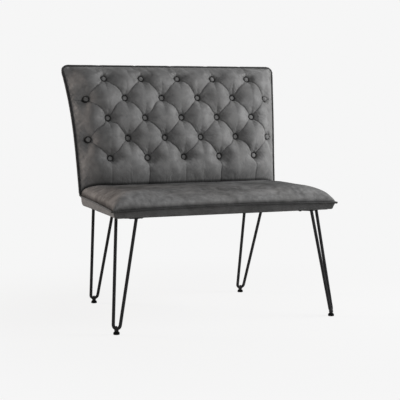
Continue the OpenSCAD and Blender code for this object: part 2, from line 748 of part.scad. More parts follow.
// How far a straight rod laps into the bend, and how much thinner it is there
rod_lap = 0.5;
rod_step = 0.03;
module leg_place(foot_x, foot_y, turn, splay) {
    translate([foot_x, foot_y, bend_z]) rotate([0, 0, turn]) rotate([0, -splay, 0]) children();
}
module bent_rod(spread) {
    translate([0, 0, bend_r]) rotate([90, 0, 90]) rotate([0, 0, 180 + spread])
        rotate_extrude(angle = 180 - 2 * spread, $fn = 96) translate([bend_r, 0])
            circle(r = rod_r, $fn = 32);
    for (side = [-1, 1])
        translate([0, side * bend_r * cos(spread), bend_r * (1 - sin(spread))])
            rotate([-side * spread, 0, 0]) translate([0, 0, -rod_lap])
                cylinder(r = rod_r - rod_step, h = plate_z * 1.15, $fn = 32);
}
module leg(foot_x, foot_y, turn, splay) {
    // the rods of a longer leg stand as far apart at the plate
    spread = atan(tan(rod_spread) * cos(splay) / cos(front_splay));
    difference() {
        leg_place(foot_x, foot_y, turn, splay) bent_rod(spread);
        translate([foot_x, foot_y, 0]) cylinder(d = stem_d + 2 * run_gap, h = bend_z + 2 * bend_r, $fn = 32);
        translate([-big / 2, -big / 2, plate_z]) cube(big);
    }
}
module front_leg() { leg(front_foot_x, front_foot_y, -front_turn, front_splay); }
module rear_leg() { leg(rear_foot_x, rear_foot_y, 90, rear_splay); }
module leg_front_right() { color(steel_black) translate([0, -y_mid, 0]) front_leg(); }
module leg_front_left() { color(steel_black) mirror([1, 0, 0]) translate([0, -y_mid, 0]) front_leg(); }
module leg_rear_right() { color(steel_black) translate([0, -y_mid, 0]) rear_leg(); }
module leg_rear_left() { color(steel_black) mirror([1, 0, 0]) translate([0, -y_mid, 0]) rear_leg(); }

// Leg plates. A plate's own frame is on its underside between the rods, turned like its leg.

module plate_place(foot_x, foot_y, turn, splay) {
    run = (plate_z - bend_z) * tan(splay);
    translate([foot_x, foot_y, plate_z]) rotate([0, 0, turn]) translate([-run, 0, 0]) children();
}
module front_plate_place() {
    plate_place(front_foot_x, front_foot_y, -front_turn, front_splay) children();
}
module rear_plate_place() {
    plate_place(rear_foot_x, rear_foot_y, 90, rear_splay) children();
}
// Corner radius of a leg plate, and how far the plate reaches outside the rods' middle line
plate_corner_r = 16;
plate_lip = 9;
// Distance of a plate's bolt holes from its edges
hole_margin = 12;
plate_holes = [
    for (x = [plate_lip - 2 * hole_margin - 1, plate_lip + hole_margin - plate_w], side = [-1, 1])
        [x, side * (plate_l / 2 - hole_margin) * (x > -plate_w / 2 ? 0.3 : 1)]
];
module leg_plate() {
    difference() {
        linear_extrude(plate_t) polygon(rounded(
            [
                [plate_lip - plate_w, -plate_l / 2], [plate_lip, -plate_l / 2],
                [plate_lip, plate_l / 2], [plate_lip - plate_w, plate_l / 2]
            ],
            [for (k = [0:3]) plate_corner_r], 6));
        for (h = plate_holes)
            translate([h.x, h.y, -1]) cylinder(d = bolt_d + 0.6, h = plate_t + 2, $fn = 24);
    }
}
module leg_plate_front_right() {
    color(steel_black) translate([0, -y_mid, 0]) front_plate_place() leg_plate();
}
module leg_plate_front_left() {
    color(steel_black) mirror([1, 0, 0]) translate([0, -y_mid, 0]) front_plate_place() leg_plate();
}
module leg_plate_rear_right() {
    color(steel_black) translate([0, -y_mid, 0]) rear_plate_place() leg_plate();
}
module leg_plate_rear_left() {
    color(steel_black) mirror([1, 0, 0]) translate([0, -y_mid, 0]) rear_plate_place() leg_plate();
}

// Puts children at each leg bolt's axis, with Z measured from the floor
module leg_bolt_places() {
    for (side = [0, 1]) mirror([side, 0, 0]) {
        front_plate_place() for (h = plate_holes) translate([h.x, h.y, -plate_z]) children();
        rear_plate_place() for (h = plate_holes) translate([h.x, h.y, -plate_z]) children();
    }
}
// Barrel and flange of a tee nut, and height of a bolt head
barrel_d = bolt_d + 2;
flange_d = 18;
flange_t = 1.2;
bolt_head_h = 3.3;
module leg_bolts() {
    color(zinc) translate([0, -y_mid, 0]) leg_bolt_places() {
        translate([0, 0, plate_z - bolt_head_h]) difference() {
            cylinder(d = bolt_d * 1.75, h = bolt_head_h, $fn = 24);
            translate([0, 0, -tiny]) cylinder(d = bolt_d * 0.75, h = 2, $fn = 6);
        }
        translate([0, 0, plate_z - 0.5])
            cylinder(d = bolt_d - 0.2, h = board_top_z - plate_z - 2, $fn = 24);
    }
}
module tee_nuts() {
    color(zinc) translate([0, -y_mid, 0]) leg_bolt_places() difference() {
        union() {
            translate([0, 0, board_top_z - flange_t]) cylinder(d = flange_d, h = flange_t, $fn = 32);
            translate([0, 0, board_top_z - seat_board_t * 0.7])
                cylinder(d = barrel_d, h = seat_board_t * 0.7, $fn = 32);
        }
        cylinder(d = bolt_d, h = big / 2, $fn = 32);
    }
}

// Levelling feet. Each foot's own frame is on the floor under its leg.

module foot_boss(foot_x, foot_y, turn, splay) {
    difference() {
        translate([foot_x, foot_y, boss_z]) cylinder(d = boss_d, h = bend_z - boss_z, $fn = 32);
        leg_place(foot_x, foot_y, turn, splay) translate([0, 0, bend_r]) rotate([0, 90, 0])
            rotate_extrude($fn = 96) translate([bend_r, 0]) circle(r = rod_r + 0.05, $fn = 32);
        translate([foot_x, foot_y, 0]) cylinder(d = stem_d + 2 * run_gap, h = bend_z + 2 * bend_r, $fn = 32);
    }
}
module foot_boss_front_right() {
    color(steel_black) translate([0, -y_mid, 0])
        foot_boss(front_foot_x, front_foot_y, -front_turn, front_splay);
}
module foot_boss_front_left() {
    color(steel_black) mirror([1, 0, 0]) translate([0, -y_mid, 0])
        foot_boss(front_foot_x, front_foot_y, -front_turn, front_splay);
}
module foot_boss_rear_right() {
    color(steel_black) translate([0, -y_mid, 0])
        foot_boss(rear_foot_x, rear_foot_y, 90, rear_splay);
}
module foot_boss_rear_left() {
    color(steel_black) mirror([1, 0, 0]) translate([0, -y_mid, 0])
        foot_boss(rear_foot_x, rear_foot_y, 90, rear_splay);
}

// Socket in a foot pad, where the stem turns
socket_depth = 4;
socket_d = 9;
module foot_stem() {
    translate([0, 0, pad_h - socket_depth + fit_gap])
        cylinder(d = socket_d - 2 * run_gap, h = socket_depth - fit_gap + 0.3, $fn = 32);
    translate([0, 0, pad_h + 0.2])
        cylinder(d = stem_hex / cos(30), h = stem_hex_h, $fn = 6);
    translate([0, 0, pad_h + stem_hex_h])
        cylinder(d = stem_d, h = bend_z + foot_travel + 3 - pad_h - stem_hex_h, $fn = 32);
}
module foot_pad() {
    difference() {
        rotate_extrude($fn = 48) polygon([
            [0, 0], [pad_d / 2 - 1, 0], [pad_d / 2, 1], [pad_d / 2, pad_h * 0.5],
            [pad_d / 2 - 0.8, pad_h * 0.72], [pad_d / 2 - 2.2, pad_h * 0.89], [pad_d / 2 - 4.2, pad_h],
            [0, pad_h]
        ]);
        translate([0, 0, pad_h - socket_depth]) cylinder(d = socket_d, h = pad_h, $fn = 32);
    }
}
module at_foot(x, y) { translate([x, y - y_mid, 0]) children(); }
module foot_stem_front_left() { color(steel_black) at_foot(-front_foot_x, front_foot_y) foot_stem(); }
module foot_stem_front_right() { color(steel_black) at_foot(front_foot_x, front_foot_y) foot_stem(); }
module foot_stem_rear_left() { color(steel_black) at_foot(-rear_foot_x, rear_foot_y) foot_stem(); }
module foot_stem_rear_right() { color(steel_black) at_foot(rear_foot_x, rear_foot_y) foot_stem(); }
module foot_pad_front_left() { color("#101010") at_foot(-front_foot_x, front_foot_y) foot_pad(); }
module foot_pad_front_right() { color("#101010") at_foot(front_foot_x, front_foot_y) foot_pad(); }
module foot_pad_rear_left() { color("#101010") at_foot(-rear_foot_x, rear_foot_y) foot_pad(); }
module foot_pad_rear_right() { color("#101010") at_foot(rear_foot_x, rear_foot_y) foot_pad(); }

seat_board();
back_board();
bracket_left();
bracket_centre();
bracket_right();
bracket_screws();
seat_foam();
seat_cover();
seat_lower_cover();
dust_cover();
back_foam();
back_tufted_cover();
back_wadding();
back_rear_cover();
welt();
back_buttons();
button_cords();
button_anchors();
leg_front_left();
leg_front_right();
leg_rear_left();
leg_rear_right();
leg_plate_front_left();
leg_plate_front_right();
leg_plate_rear_left();
leg_plate_rear_right();
leg_bolts();
tee_nuts();
foot_boss_front_left();
foot_boss_front_right();
foot_boss_rear_left();
foot_boss_rear_right();
foot_stem_front_left();
foot_stem_front_right();
foot_stem_rear_left();
foot_stem_rear_right();
foot_pad_front_left();
foot_pad_front_right();
foot_pad_rear_left();
foot_pad_rear_right();
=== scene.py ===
"""Looks of an upholstered dining bench: a button-tufted back and a crowned seat in buffed grey
synthetic leather, piped along one seam, on four splayed hairpin legs with levelling feet.

Lengths in the shape functions are millimetres, as in the part's source. y is measured back from
the front seam, s runs up the back's seam line from the seat, and n is the distance in front of
that line. metres() brings a finished grid into the frame.
"""
import json
import math

import bpy
import numpy as np
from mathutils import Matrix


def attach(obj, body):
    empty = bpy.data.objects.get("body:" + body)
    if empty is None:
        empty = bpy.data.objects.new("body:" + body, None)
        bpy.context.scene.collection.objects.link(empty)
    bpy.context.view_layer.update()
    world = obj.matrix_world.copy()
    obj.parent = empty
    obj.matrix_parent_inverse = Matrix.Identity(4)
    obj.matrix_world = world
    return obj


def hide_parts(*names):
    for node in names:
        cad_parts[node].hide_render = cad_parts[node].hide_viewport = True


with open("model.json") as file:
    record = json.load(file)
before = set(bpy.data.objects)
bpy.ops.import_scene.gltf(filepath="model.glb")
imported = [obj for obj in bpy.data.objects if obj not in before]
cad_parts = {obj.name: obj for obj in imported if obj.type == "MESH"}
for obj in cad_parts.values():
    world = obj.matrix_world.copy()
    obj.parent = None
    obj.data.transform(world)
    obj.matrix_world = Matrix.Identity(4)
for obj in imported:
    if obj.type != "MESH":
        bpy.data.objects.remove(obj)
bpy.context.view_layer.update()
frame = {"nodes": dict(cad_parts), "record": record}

# Sizes of the upholstery, the same as in the part's source
SEAT_FRONT_W, SEAT_REAR_W, SEAT_D = 892.0, 842.0, 483.0
SEAT_TOP_Z, UNDERSIDE_Z = 495.0, 410.0
SEAM_FRONT_Z, SEAM_REAR_Z, SEAM_LIFT, DRAW_IN = 437.0, 452.0, 7.0, 4.0
SEAT_CORNER_R, SEAT_SIDE_ROLL, SEAT_FRONT_ROLL = 12.0, 96.0, 90.0
BACK_TOP_W, BACK_LEN, BACK_LEAN = 924.0, 521.0, math.radians(8)
BACK_STRAIGHT, BACK_BEND_R, BACK_CROWN, REAR_DEPTH = 190.0, 1300.0, 82.0, 20.0
BACK_CORNER_R, BACK_SIDE_ROLL, BACK_TOP_ROLL = 28.0, 125.0, 100.0
HALF_PITCH, ROW_PITCH, MIDDLE_ROW_S = 77.25, 77.2, 293.8
HALF_ROWS, OUTER_COLUMN = 2, 5
BUTTON_R, BUTTON_H, RIM_LIFT = 10.0, 4.6, 2.6
COVER_T, WELT_R, TUCK_IN, HEM_W, DUST_COVER_T = 2.4, 3.5, 18.0, 18.0, 1.0
SEAM_INSET = WELT_R + 0.2
RIM_RISE = COVER_T + 0.1
# Top of the seat board, front of the back board and front of the twines' knots (both as n), and the
# middle of the bench's depth, where the frame's y is 0
BOARD_TOP_Z, BOARD_N, TWINE_END_N, Y_MID = 428.0, 4.0, -9.8, 310.5287


# General functions

def clamp01(t):
    return np.clip(t, 0.0, 1.0)


def smooth(t):
    """Smooth step: 3t^2 - 2t^3 between 0 and 1."""
    c = clamp01(t)
    return c * c * (3 - 2 * c)


def roll(d, reach, power):
    """Height of a rolled edge: the sine of a quarter turn over reach, to a power."""
    return np.sin(np.pi / 2 * clamp01(d / reach)) ** power


def bell(d, reach):
    """Bell curve: 1 at d = 0, 1/e at the reach."""
    return np.exp(-(d / reach) ** 2)


def gather_share(d, reach):
    """How much leather gathers at distance d from a seam: nothing in the seam, most a few
    millimetres beside it, and less from there on by 1/e every reach."""
    return np.exp(-d / reach) * (1 - np.exp(-d / 3))


def evened(values, times):
    """Values round a closed loop, each mixed with its two neighbours, a few times over."""
    for _ in range(times):
        values = (np.roll(values, 1, 0) + 2 * values + np.roll(values, -1, 0)) / 4
    return values


def corner_cut(e, r):
    """How far a quarter circle of radius r pulls a side in, at distance e from the end."""
    e = np.clip(e, 0.0, r)
    return r - np.sqrt(np.maximum(r * r - (r - e) ** 2, 0))


def ripple(x, y, length, seed, waves=9):
    """Smooth unevenness of about unit size: a sum of sine waves in seeded directions, with
    wavelengths spread round the given length."""
    rng = np.random.default_rng(seed)
    total = np.zeros(np.broadcast(x, y).shape)
    for angle, phase, stretch in zip(rng.uniform(0, np.pi, waves), rng.uniform(0, 2 * np.pi, waves),
                                     rng.uniform(0.6, 1.7, waves)):
        k = 2 * np.pi / (length * stretch)
        total += np.sin(k * (x * np.cos(angle) + y * np.sin(angle)) + phase)
    return total / math.sqrt(waves / 2)


def metres(points):
    """Points in millimetres behind the front seam, as metres in the frame."""
    p = np.asarray(points, float).reshape(-1, 3) * 0.001
    p[:, 1] -= Y_MID * 0.001
    return p


# Shape of the seat

EAR_PULL, EAR_REACH, EAR_ACROSS, EAR_FORWARD, EAR_IN = 7.0, 17.0, 0.85, 0.55, 2.0
SIDE_ROLL_POWER, FRONT_ROLL_POWER, SIDE_ROLL_LOSS = 0.36, 0.42, 22.0


def seat_hw(y):
    return SEAT_FRONT_W / 2 + (SEAT_REAR_W - SEAT_FRONT_W) / 2 * clamp01(y / SEAT_D)


def drawn(x, y):
    """The seams pulled in between the corners: a parabola across the front and a sine along
    the sides."""
    u, v = x / seat_hw(y), clamp01(y / SEAT_D)
    return x - DRAW_IN * u * np.abs(u) * np.sin(np.pi * v), y + DRAW_IN * (1 - u * u) * (1 - v)


def ear(x, y, share=1.0):
    """The pinched tip at each front corner: an outward pull that fades as a bell curve."""
    away = np.hypot(np.abs(x) - SEAT_FRONT_W / 2 + EAR_IN, y - EAR_IN)
    pull = EAR_PULL * bell(away, EAR_REACH) * share
    return x + np.sign(x) * pull * EAR_ACROSS, y - pull * EAR_FORWARD


def seam_z(x, y):
    u, v = np.minimum(1, np.abs(x) / seat_hw(y)), clamp01(y / SEAT_D)
    return SEAM_FRONT_Z + (SEAM_REAR_Z - SEAM_FRONT_Z) * v + SEAM_LIFT * (1 - u * u) * (1 - v)


def seat_z(x, y):
    """The crown: a steep rise from each seam that levels off, where the side's and the front's
    shortfalls are joined as the legs of a right-angled triangle, so that the corners stay full."""
    edge = seam_z(x, y) + RIM_RISE
    reach = SEAT_SIDE_ROLL - SIDE_ROLL_LOSS * clamp01(y / SEAT_D)
    side = 1 - roll(seat_hw(y) - SEAM_INSET - np.abs(x), reach, SIDE_ROLL_POWER)
    front = 1 - roll(y - SEAM_INSET, SEAT_FRONT_ROLL, FRONT_ROLL_POWER)
    return edge + (SEAT_TOP_Z - edge) * np.maximum(0, 1 - np.hypot(side, front))


# Shape of the back

# The sides flare by a straight share and a cubic share of the way up
FLARE_STRAIGHT, FLARE_CUBIC, BACK_ROLL_POWER = 0.45, 0.55, 0.8
FOOT_TUCK, FOOT_REACH, FOOT_GAP = 19.0, 56.0, 0.4


def lean_at(s):
    return BACK_LEAN + np.maximum(0, s - BACK_STRAIGHT) / BACK_BEND_R


def back_point(x, s, n):
    """A place on the back: a straight line that leans back, then an arc that rolls away."""
    lean, run = lean_at(s), np.minimum(s, BACK_STRAIGHT)
    y = (SEAT_D + run * math.sin(BACK_LEAN) + BACK_BEND_R * (math.cos(BACK_LEAN) - np.cos(lean))
         - n * np.cos(lean))
    z = (SEAM_REAR_Z + run * math.cos(BACK_LEAN)
         + BACK_BEND_R * (np.sin(lean) - math.sin(BACK_LEAN)) + n * np.sin(lean))
    return np.stack(np.broadcast_arrays(x, y, z), -1)


def back_hw(s):
    u = clamp01(s / BACK_LEN)
    flare = FLARE_STRAIGHT * u + FLARE_CUBIC * u ** 3
    return (SEAT_REAR_W + (BACK_TOP_W - SEAT_REAR_W) * flare) / 2


def back_inner_hw(s, inset):
    return back_hw(s) - inset - corner_cut(BACK_LEN - inset - s, max(1, BACK_CORNER_R - inset))


def back_pad(x, s):
    """Padding without its tufts: a sine roll towards the side seams and the top seam."""
    side = roll(back_hw(s) - SEAM_INSET - np.abs(x), BACK_SIDE_ROLL, BACK_ROLL_POWER)
    top = roll(BACK_LEN - SEAM_INSET - s, BACK_TOP_ROLL, BACK_ROLL_POWER)
    return RIM_RISE + (BACK_CROWN - RIM_RISE) * side * top


def seam_distance(x, s):
    """Distance to the nearer of the back's side seam and its top seam."""
    return np.minimum(back_hw(s) - SEAM_INSET - np.abs(x), BACK_LEN - SEAM_INSET - s)


def foot_s(x, n):
    """Where the back's pad meets the seat, along s."""
    seat = seat_z(x, SEAT_D - n * math.cos(BACK_LEAN))
    return (seat + FOOT_GAP - SEAM_REAR_Z - n * math.sin(BACK_LEAN)) / math.cos(BACK_LEAN)


BUTTONS = np.array([
    (column * HALF_PITCH, MIDDLE_ROW_S + row * ROW_PITCH)
    for row in range(-HALF_ROWS, HALF_ROWS + 1)
    for column in range(-OUTER_COLUMN, OUTER_COLUMN + 1) if (row + column) % 2 == 0
])
PIT_DEPTH, FOLD_SHARE, PLEAT_DEPTH, PUFF_RISE, SWAY = 36.0, 0.55, 7.0, 6.0, 3.9
OUTER_PIT_LOSS, FOLD_POWER, PUFF_POWER, FOLD_LINE_W = 0.22, 0.8, 0.58, 1.1
# Strength of the pleats that hang from the bottom row's buttons, the most of it that counts for
# their depth, and how much weaker those above the top row are
PLEAT_COLUMNS, PLEAT_SHARES = (-4, -2, 0, 2, 4), (0.45, 1.2, 0.4, 1.4, 1.1)
PLEAT_LIMIT, TOP_PLEAT_LOSS = 1.2, 0.55


def tufting(x, s):
    """Depth of the tufting, and how much of a fold line each place is.

    In units of the button spacing, the fold lines are where column + row or column - row is
    even. The sines of a quarter turn times these are 0 on the lines, so their product, to a
    power, is a pillow in each diamond. Outside the buttons a and b stop changing, and the
    lines run straight out to the seams as plain pleats."""
    column, row = np.abs(x) / HALF_PITCH, (s - MIDDLE_ROW_S) / ROW_PITCH
    a, b = np.minimum(column, OUTER_COLUMN), np.clip(row, -HALF_ROWS, HALF_ROWS)
    one = np.abs(np.sin(np.pi / 2 * (a + b)))
    other = np.abs(np.sin(np.pi / 2 * (a - b)))
    outside = np.maximum(np.maximum(np.abs(row) - HALF_ROWS, column - OUTER_COLUMN), 0)
    pit = PIT_DEPTH * (1 - OUTER_PIT_LOSS * smooth(a - OUTER_COLUMN + 1))
    depth = pit * (1 - smooth(2 * outside)) + PLEAT_DEPTH * smooth(2 * outside)
    puff = FOLD_SHARE * np.maximum(one, other) ** FOLD_POWER
    puff = puff + (1 - FOLD_SHARE) * (one * other) ** PUFF_POWER
    spacing = HALF_PITCH / math.sqrt(2) * 2 / np.pi
    line = bell(np.minimum(one, other) * spacing, FOLD_LINE_W)
    share = pleat_share(x, s)
    return depth * (1 - puff) * np.minimum(PLEAT_LIMIT, share), line * share


def pleat_share(x, s):
    """How strong the pleats outside the buttons are: each of the five that hang from the bottom
    row has its own strength, and those above the top row are soft."""
    column, row = x / HALF_PITCH, (s - MIDDLE_ROW_S) / ROW_PITCH
    below, above = smooth((-HALF_ROWS - row) * 3), smooth((row - HALF_ROWS) * 3)
    return 1 + below * (np.interp(column, PLEAT_COLUMNS, PLEAT_SHARES) - 1) - TOP_PLEAT_LOSS * above


def sway(x, s):
    """How far each place of the pattern is lifted along s: a squared sine of the column, so that
    the folds bow upwards between buttons and the buttons stay where they are."""
    column, row = np.minimum(np.abs(x) / HALF_PITCH, OUTER_COLUMN), (s - MIDDLE_ROW_S) / ROW_PITCH
    held = 1 - smooth((np.abs(row) - HALF_ROWS) / 0.8)
    return SWAY * np.sin(np.pi * column) ** 2 * held * (1 + 0.3 * ripple(x, s, 160, seed=29))


# Meshes

def placed(name, data):
    """A new object in the scene."""
    obj = bpy.data.objects.new(name, data)
    bpy.context.scene.collection.objects.link(obj)
    return obj


def mesh_object(name, points, faces, material, sharp=None):
    """A smooth object at the origin from points in metres and faces given as arrays or lists, with
    sharp edges only above an angle in degrees, if that is given. It is part of the frame."""
    mesh = bpy.data.meshes.new(name)
    points = np.asarray(points, np.float32).reshape(-1, 3)
    parts = [np.asarray(f) for f in faces if len(f)]
    loops = np.concatenate([p.reshape(-1) for p in parts]).astype(np.int32)
    sizes = [np.full(len(p), p.shape[1]) if p.ndim == 2 else [len(p)] for p in parts]
    sizes = np.concatenate(sizes)
    mesh.vertices.add(len(points))
    mesh.vertices.foreach_set("co", points.reshape(-1))
    mesh.loops.add(len(loops))
    mesh.loops.foreach_set("vertex_index", loops)
    mesh.polygons.add(len(sizes))
    mesh.polygons.foreach_set("loop_start", (np.cumsum(sizes) - sizes).astype(np.int32))
    mesh.polygons.foreach_set("use_smooth", np.full(len(sizes), True))
    mesh.update(calc_edges=True)
    mesh.validate()
    if sharp:
        mesh.set_sharp_from_angle(angle=math.radians(sharp))
    obj = placed(name, mesh)
    mesh.materials.append(material)
    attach(obj, "frame")
    return obj


def grid_faces(rows, columns, wrap_rows=False, wrap_columns=False, start=0):
    """Quads of a grid, listed so that they face along (column direction) x (row direction)."""
    r = np.arange(rows if wrap_rows else rows - 1)[:, None]
    c = np.arange(columns if wrap_columns else columns - 1)[None, :]
    r2, c2 = (r + 1) % rows, (c + 1) % columns
    quads = [r * columns + c, r * columns + c2, r2 * columns + c2, r2 * columns + c]
    quads = [np.broadcast_to(q, (r.shape[0], c.shape[1])) for q in quads]
    return np.stack(quads, -1).reshape(-1, 4) + start


def paint_shade(obj, values):
    """Painted shade: how dark each vertex is, which the leather reads as the attribute fold; those
    past the end are 0.
    """
    values = np.asarray(values, np.float32).reshape(-1)
    padded_values = np.zeros(len(obj.data.vertices), np.float32)
    padded_values[:len(values)] = values
    obj.data.attributes.new("fold", "FLOAT", "POINT").data.foreach_set("value", padded_values)


def closed_pad(front, rear_edges):
    """A closed form from a front grid: its sides run back to rear_edges, two columns of points
    behind the left and right edges, joined by strips, and its ends are single faces."""
    rows, columns = front.shape[:2]
    count = rows * columns
    points = np.concatenate([front.reshape(-1, 3), rear_edges[0], rear_edges[1]])
    left, right = count + np.arange(rows), count + rows + np.arange(rows)
    edge_left, edge_right = np.arange(rows) * columns, np.arange(rows) * columns + columns - 1

    def strip(p, q):
        return np.stack([p[:-1], q[:-1], q[1:], p[1:]], -1)

    low = np.concatenate([edge_left[:1] + np.arange(columns)[::-1], [left[0], right[0]]])
    high = np.concatenate([edge_left[-1:] + np.arange(columns), [right[-1], left[-1]]])
    return points, [strip(left, edge_left), strip(edge_right, right), strip(right, left), low, high]


def grown(points, faces, held, growth, cap, pressure=4.0, frames=20):
    """Points of a closed form after a cloth simulation under inner pressure. The leather starts a
    little larger than its form by the growth, so it swells and puckers between the places that
    are held (1 is fixed, 0 is free), and no point moves further than the cap in metres. Points
    past the end of held are fixed."""
    start = np.asarray(points, float).reshape(-1, 3)
    held = np.concatenate([held.reshape(-1), np.ones(len(start) - held.size)])
    obj = mesh_object("growing", start, faces, LEATHER)
    group = obj.vertex_groups.new(name="held")
    levels = 20
    level = np.round(np.clip(held, 0, 1) * levels).astype(int)
    for step in range(1, levels + 1):
        which = np.flatnonzero(level == step)
        if len(which):
            group.add(which.tolist(), step / levels, "REPLACE")
    cloth = obj.modifiers.new("cloth", "CLOTH")
    tune(cloth.settings, quality=5, mass=0.25, tension_stiffness=18, compression_stiffness=18,
         shear_stiffness=6, bending_stiffness=0.6, shrink_min=-growth, use_pressure=True,
         uniform_pressure_force=pressure, vertex_group_mass="held", pin_stiffness=1.0)
    cloth.settings.effector_weights.gravity = 0
    cloth.collision_settings.use_collision = False
    cloth.point_cache.frame_start, cloth.point_cache.frame_end = 1, frames
    for frame_number in range(1, frames + 1):
        bpy.context.scene.frame_set(frame_number)
    result = obj.evaluated_get(bpy.context.evaluated_depsgraph_get()).data
    moved = np.empty(len(start) * 3, np.float32)
    result.vertices.foreach_get("co", moved)
    bpy.data.objects.remove(obj)
    bpy.context.scene.frame_set(1)
    moved = moved.reshape(-1, 3) - start
    length = np.linalg.norm(moved, axis=1)[:, None]
    return start + moved * np.minimum(1, cap / np.maximum(length, 1e-9))


def refined(coarse, row_places, column_places):
    """A grid of vectors read at fractional rows and columns, mixed linearly between its points."""
    def parts(places, last):
        low = np.clip(np.floor(places).astype(int), 0, last - 1)
        return low, places - low
    r, fr = parts(row_places, coarse.shape[0] - 1)
    c, fc = parts(column_places, coarse.shape[1] - 1)
    fr, fc = fr[:, None, None], fc[None, :, None]
    upper = coarse[r][:, c] * (1 - fc) + coarse[r][:, c + 1] * fc
    lower = coarse[r + 1][:, c] * (1 - fc) + coarse[r + 1][:, c + 1] * fc
    return upper * (1 - fr) + lower * fr


# Materials

def linear(code):
    """An sRGB hex colour as linear numbers."""
    channels = [int(code[i:i + 2], 16) / 255 for i in (1, 3, 5)]
    return (*[c / 12.92 if c <= 0.04045 else ((c + 0.055) / 1.055) ** 2.4 for c in channels], 1.0)


def tune(node, **settings):
    """Set properties, or a node's inputs, where an underscore stands for a space in the name."""
    for key, value in settings.items():
        if hasattr(node, key):
            setattr(node, key, value)
        else:
            node.inputs[key.replace("_", " ")].default_value = value


def add(tree, kind, links=(), **settings):
    """Add a shader node, set its properties or inputs, and link its inputs to other sockets."""
    made = tree.nodes.new("ShaderNode" + kind)
    tune(made, **settings)
    for key, socket in links:
        tree.links.new(made.inputs[key], socket)
    return made


def remapped(tree, value, before, after, **settings):
    """A socket's value carried over from one (low, high) range to another."""
    return add(tree, "MapRange", [("Value", value)], **settings, From_Min=before[0],
               From_Max=before[1], To_Min=after[0], To_Max=after[1]).outputs[0]


def ramp(tree, factor, stops):
    """A colour ramp through (place, hex colour) stops."""
    made = add(tree, "ValToRGB", [("Fac", factor)])
    elements = made.color_ramp.elements
    while len(elements) < len(stops):
        elements.new(0.5)
    for element, (place, code) in zip(elements, stops):
        element.position = place
        element.color = linear(code)
    return made.outputs["Color"]


def material(name):
    """A new material with its shader; returns the material, its tree, the shader and the object
    coordinates."""
    made = bpy.data.materials.new(name)
    made.use_nodes = True
    tree = made.node_tree
    shader = tree.nodes["Principled BSDF"]
    place = add(tree, "TexCoord").outputs["Object"]
    return made, tree, shader, place


def noise(tree, place, size_mm, detail=4.0, roughness=0.55, distortion=0.0):
    """Noise whose blobs are about size_mm across."""
    return add(tree, "TexNoise", [("Vector", place)], Scale=1000.0 / size_mm, Detail=detail,
               Roughness=roughness, Distortion=distortion).outputs["Fac"]


def feed(tree, made, index, value):
    """Link an input of a node to a socket, or set it to a number or a hex colour."""
    if isinstance(value, bpy.types.NodeSocket):
        tree.links.new(made.inputs[index], value)
    else:
        made.inputs[index].default_value = linear(value) if isinstance(value, str) else value


def mix(tree, factor, a, b, blend="MIX"):
    """Colours a and b, mixed by a factor; each can be a socket or a value."""
    made = add(tree, "Mix", data_type="RGBA", blend_type=blend)
    for index, value in ((0, factor), (6, a), (7, b)):
        feed(tree, made, index, value)
    return made.outputs[2]


def bump(tree, shader, layers):
    """Bumps stacked on the shader's normal; each layer is (height socket, depth in millimetres)."""
    normal = None
    for height, depth in layers:
        links = [("Height", height)] + ([("Normal", normal)] if normal else [])
        made = add(tree, "Bump", links, Strength=1.0, Distance=depth * 0.001)
        normal = made.outputs["Normal"]
    tree.links.new(shader.inputs["Normal"], normal)


def calculate(tree, operation, a, b, clamp=False):
    """The sum, product or greater of a and b, each a socket or a number."""
    made = add(tree, "Math", operation=operation, use_clamp=clamp)
    feed(tree, made, 0, a)
    feed(tree, made, 1, b)
    return made.outputs[0]


# Painted shade: the colour that each mesh's marks darken the leather towards, and how strongly
PAINTED_SHADE_COLOUR, PAINTED_SHADE_STRENGTH, LEATHER_IOR = "#0c0c0c", 0.86, 1.33


def leather(name, deep, middle, pale, warm, rough, grain_mm=1.6, scuffed=0.2, specular=0.5,
            sheen=0.03):
    """Buffed polyurethane leather: cloudy rubbed patches 15 to 60 mm across over a fine grain, with
    a dull, slightly soft surface. Painted shade in folds, seams and recesses comes from the mesh's
    marks."""
    made, tree, shader, place = material(name)
    cloud = noise(tree, place, 95, detail=4, roughness=0.5, distortion=0.3)
    patch = noise(tree, place, 30, detail=6, roughness=0.6, distortion=0.5)
    clouds = calculate(tree, "MULTIPLY", calculate(tree, "ADD", cloud, patch), 0.5)
    colour = ramp(tree, clouds, [(0.38, deep), (0.5, middle), (0.63, pale)])
    tint = ramp(tree, noise(tree, place, 110, detail=3), [(0.42, "#000000"), (0.62, "#8c8c8c")])
    colour = mix(tree, tint, colour, warm, "MULTIPLY")
    scuffs = noise(tree, place, 9, detail=6, roughness=0.65, distortion=0.8)
    scuff_share = remapped(tree, scuffs, (0.5, 0.75), (0.0, scuffed))
    colour = mix(tree, scuff_share, colour, pale)
    # Painted shade, read from the mesh's marks in the attribute named fold
    fold = add(tree, "Attribute", attribute_name="fold").outputs["Fac"]
    painted_shade_share = calculate(tree, "MULTIPLY", fold, PAINTED_SHADE_STRENGTH, clamp=True)
    colour = mix(tree, painted_shade_share, colour, PAINTED_SHADE_COLOUR)
    tree.links.new(shader.inputs["Base Color"], colour)
    gloss = remapped(tree, patch, (0.3, 0.7), (rough + 0.08, rough - 0.08))
    tree.links.new(shader.inputs["Roughness"], gloss)
    tune(shader, IOR=LEATHER_IOR, Specular_IOR_Level=specular, Sheen_Weight=sheen,
         Sheen_Roughness=0.5)
    pores = add(tree, "TexVoronoi", [("Vector", place)], Scale=1000.0 / grain_mm,
                feature="DISTANCE_TO_EDGE").outputs["Distance"]
    creases = noise(tree, place, 9, detail=5, roughness=0.6)
    bump(tree, shader, [(creases, 0.6), (pores, 0.12)])
    return made


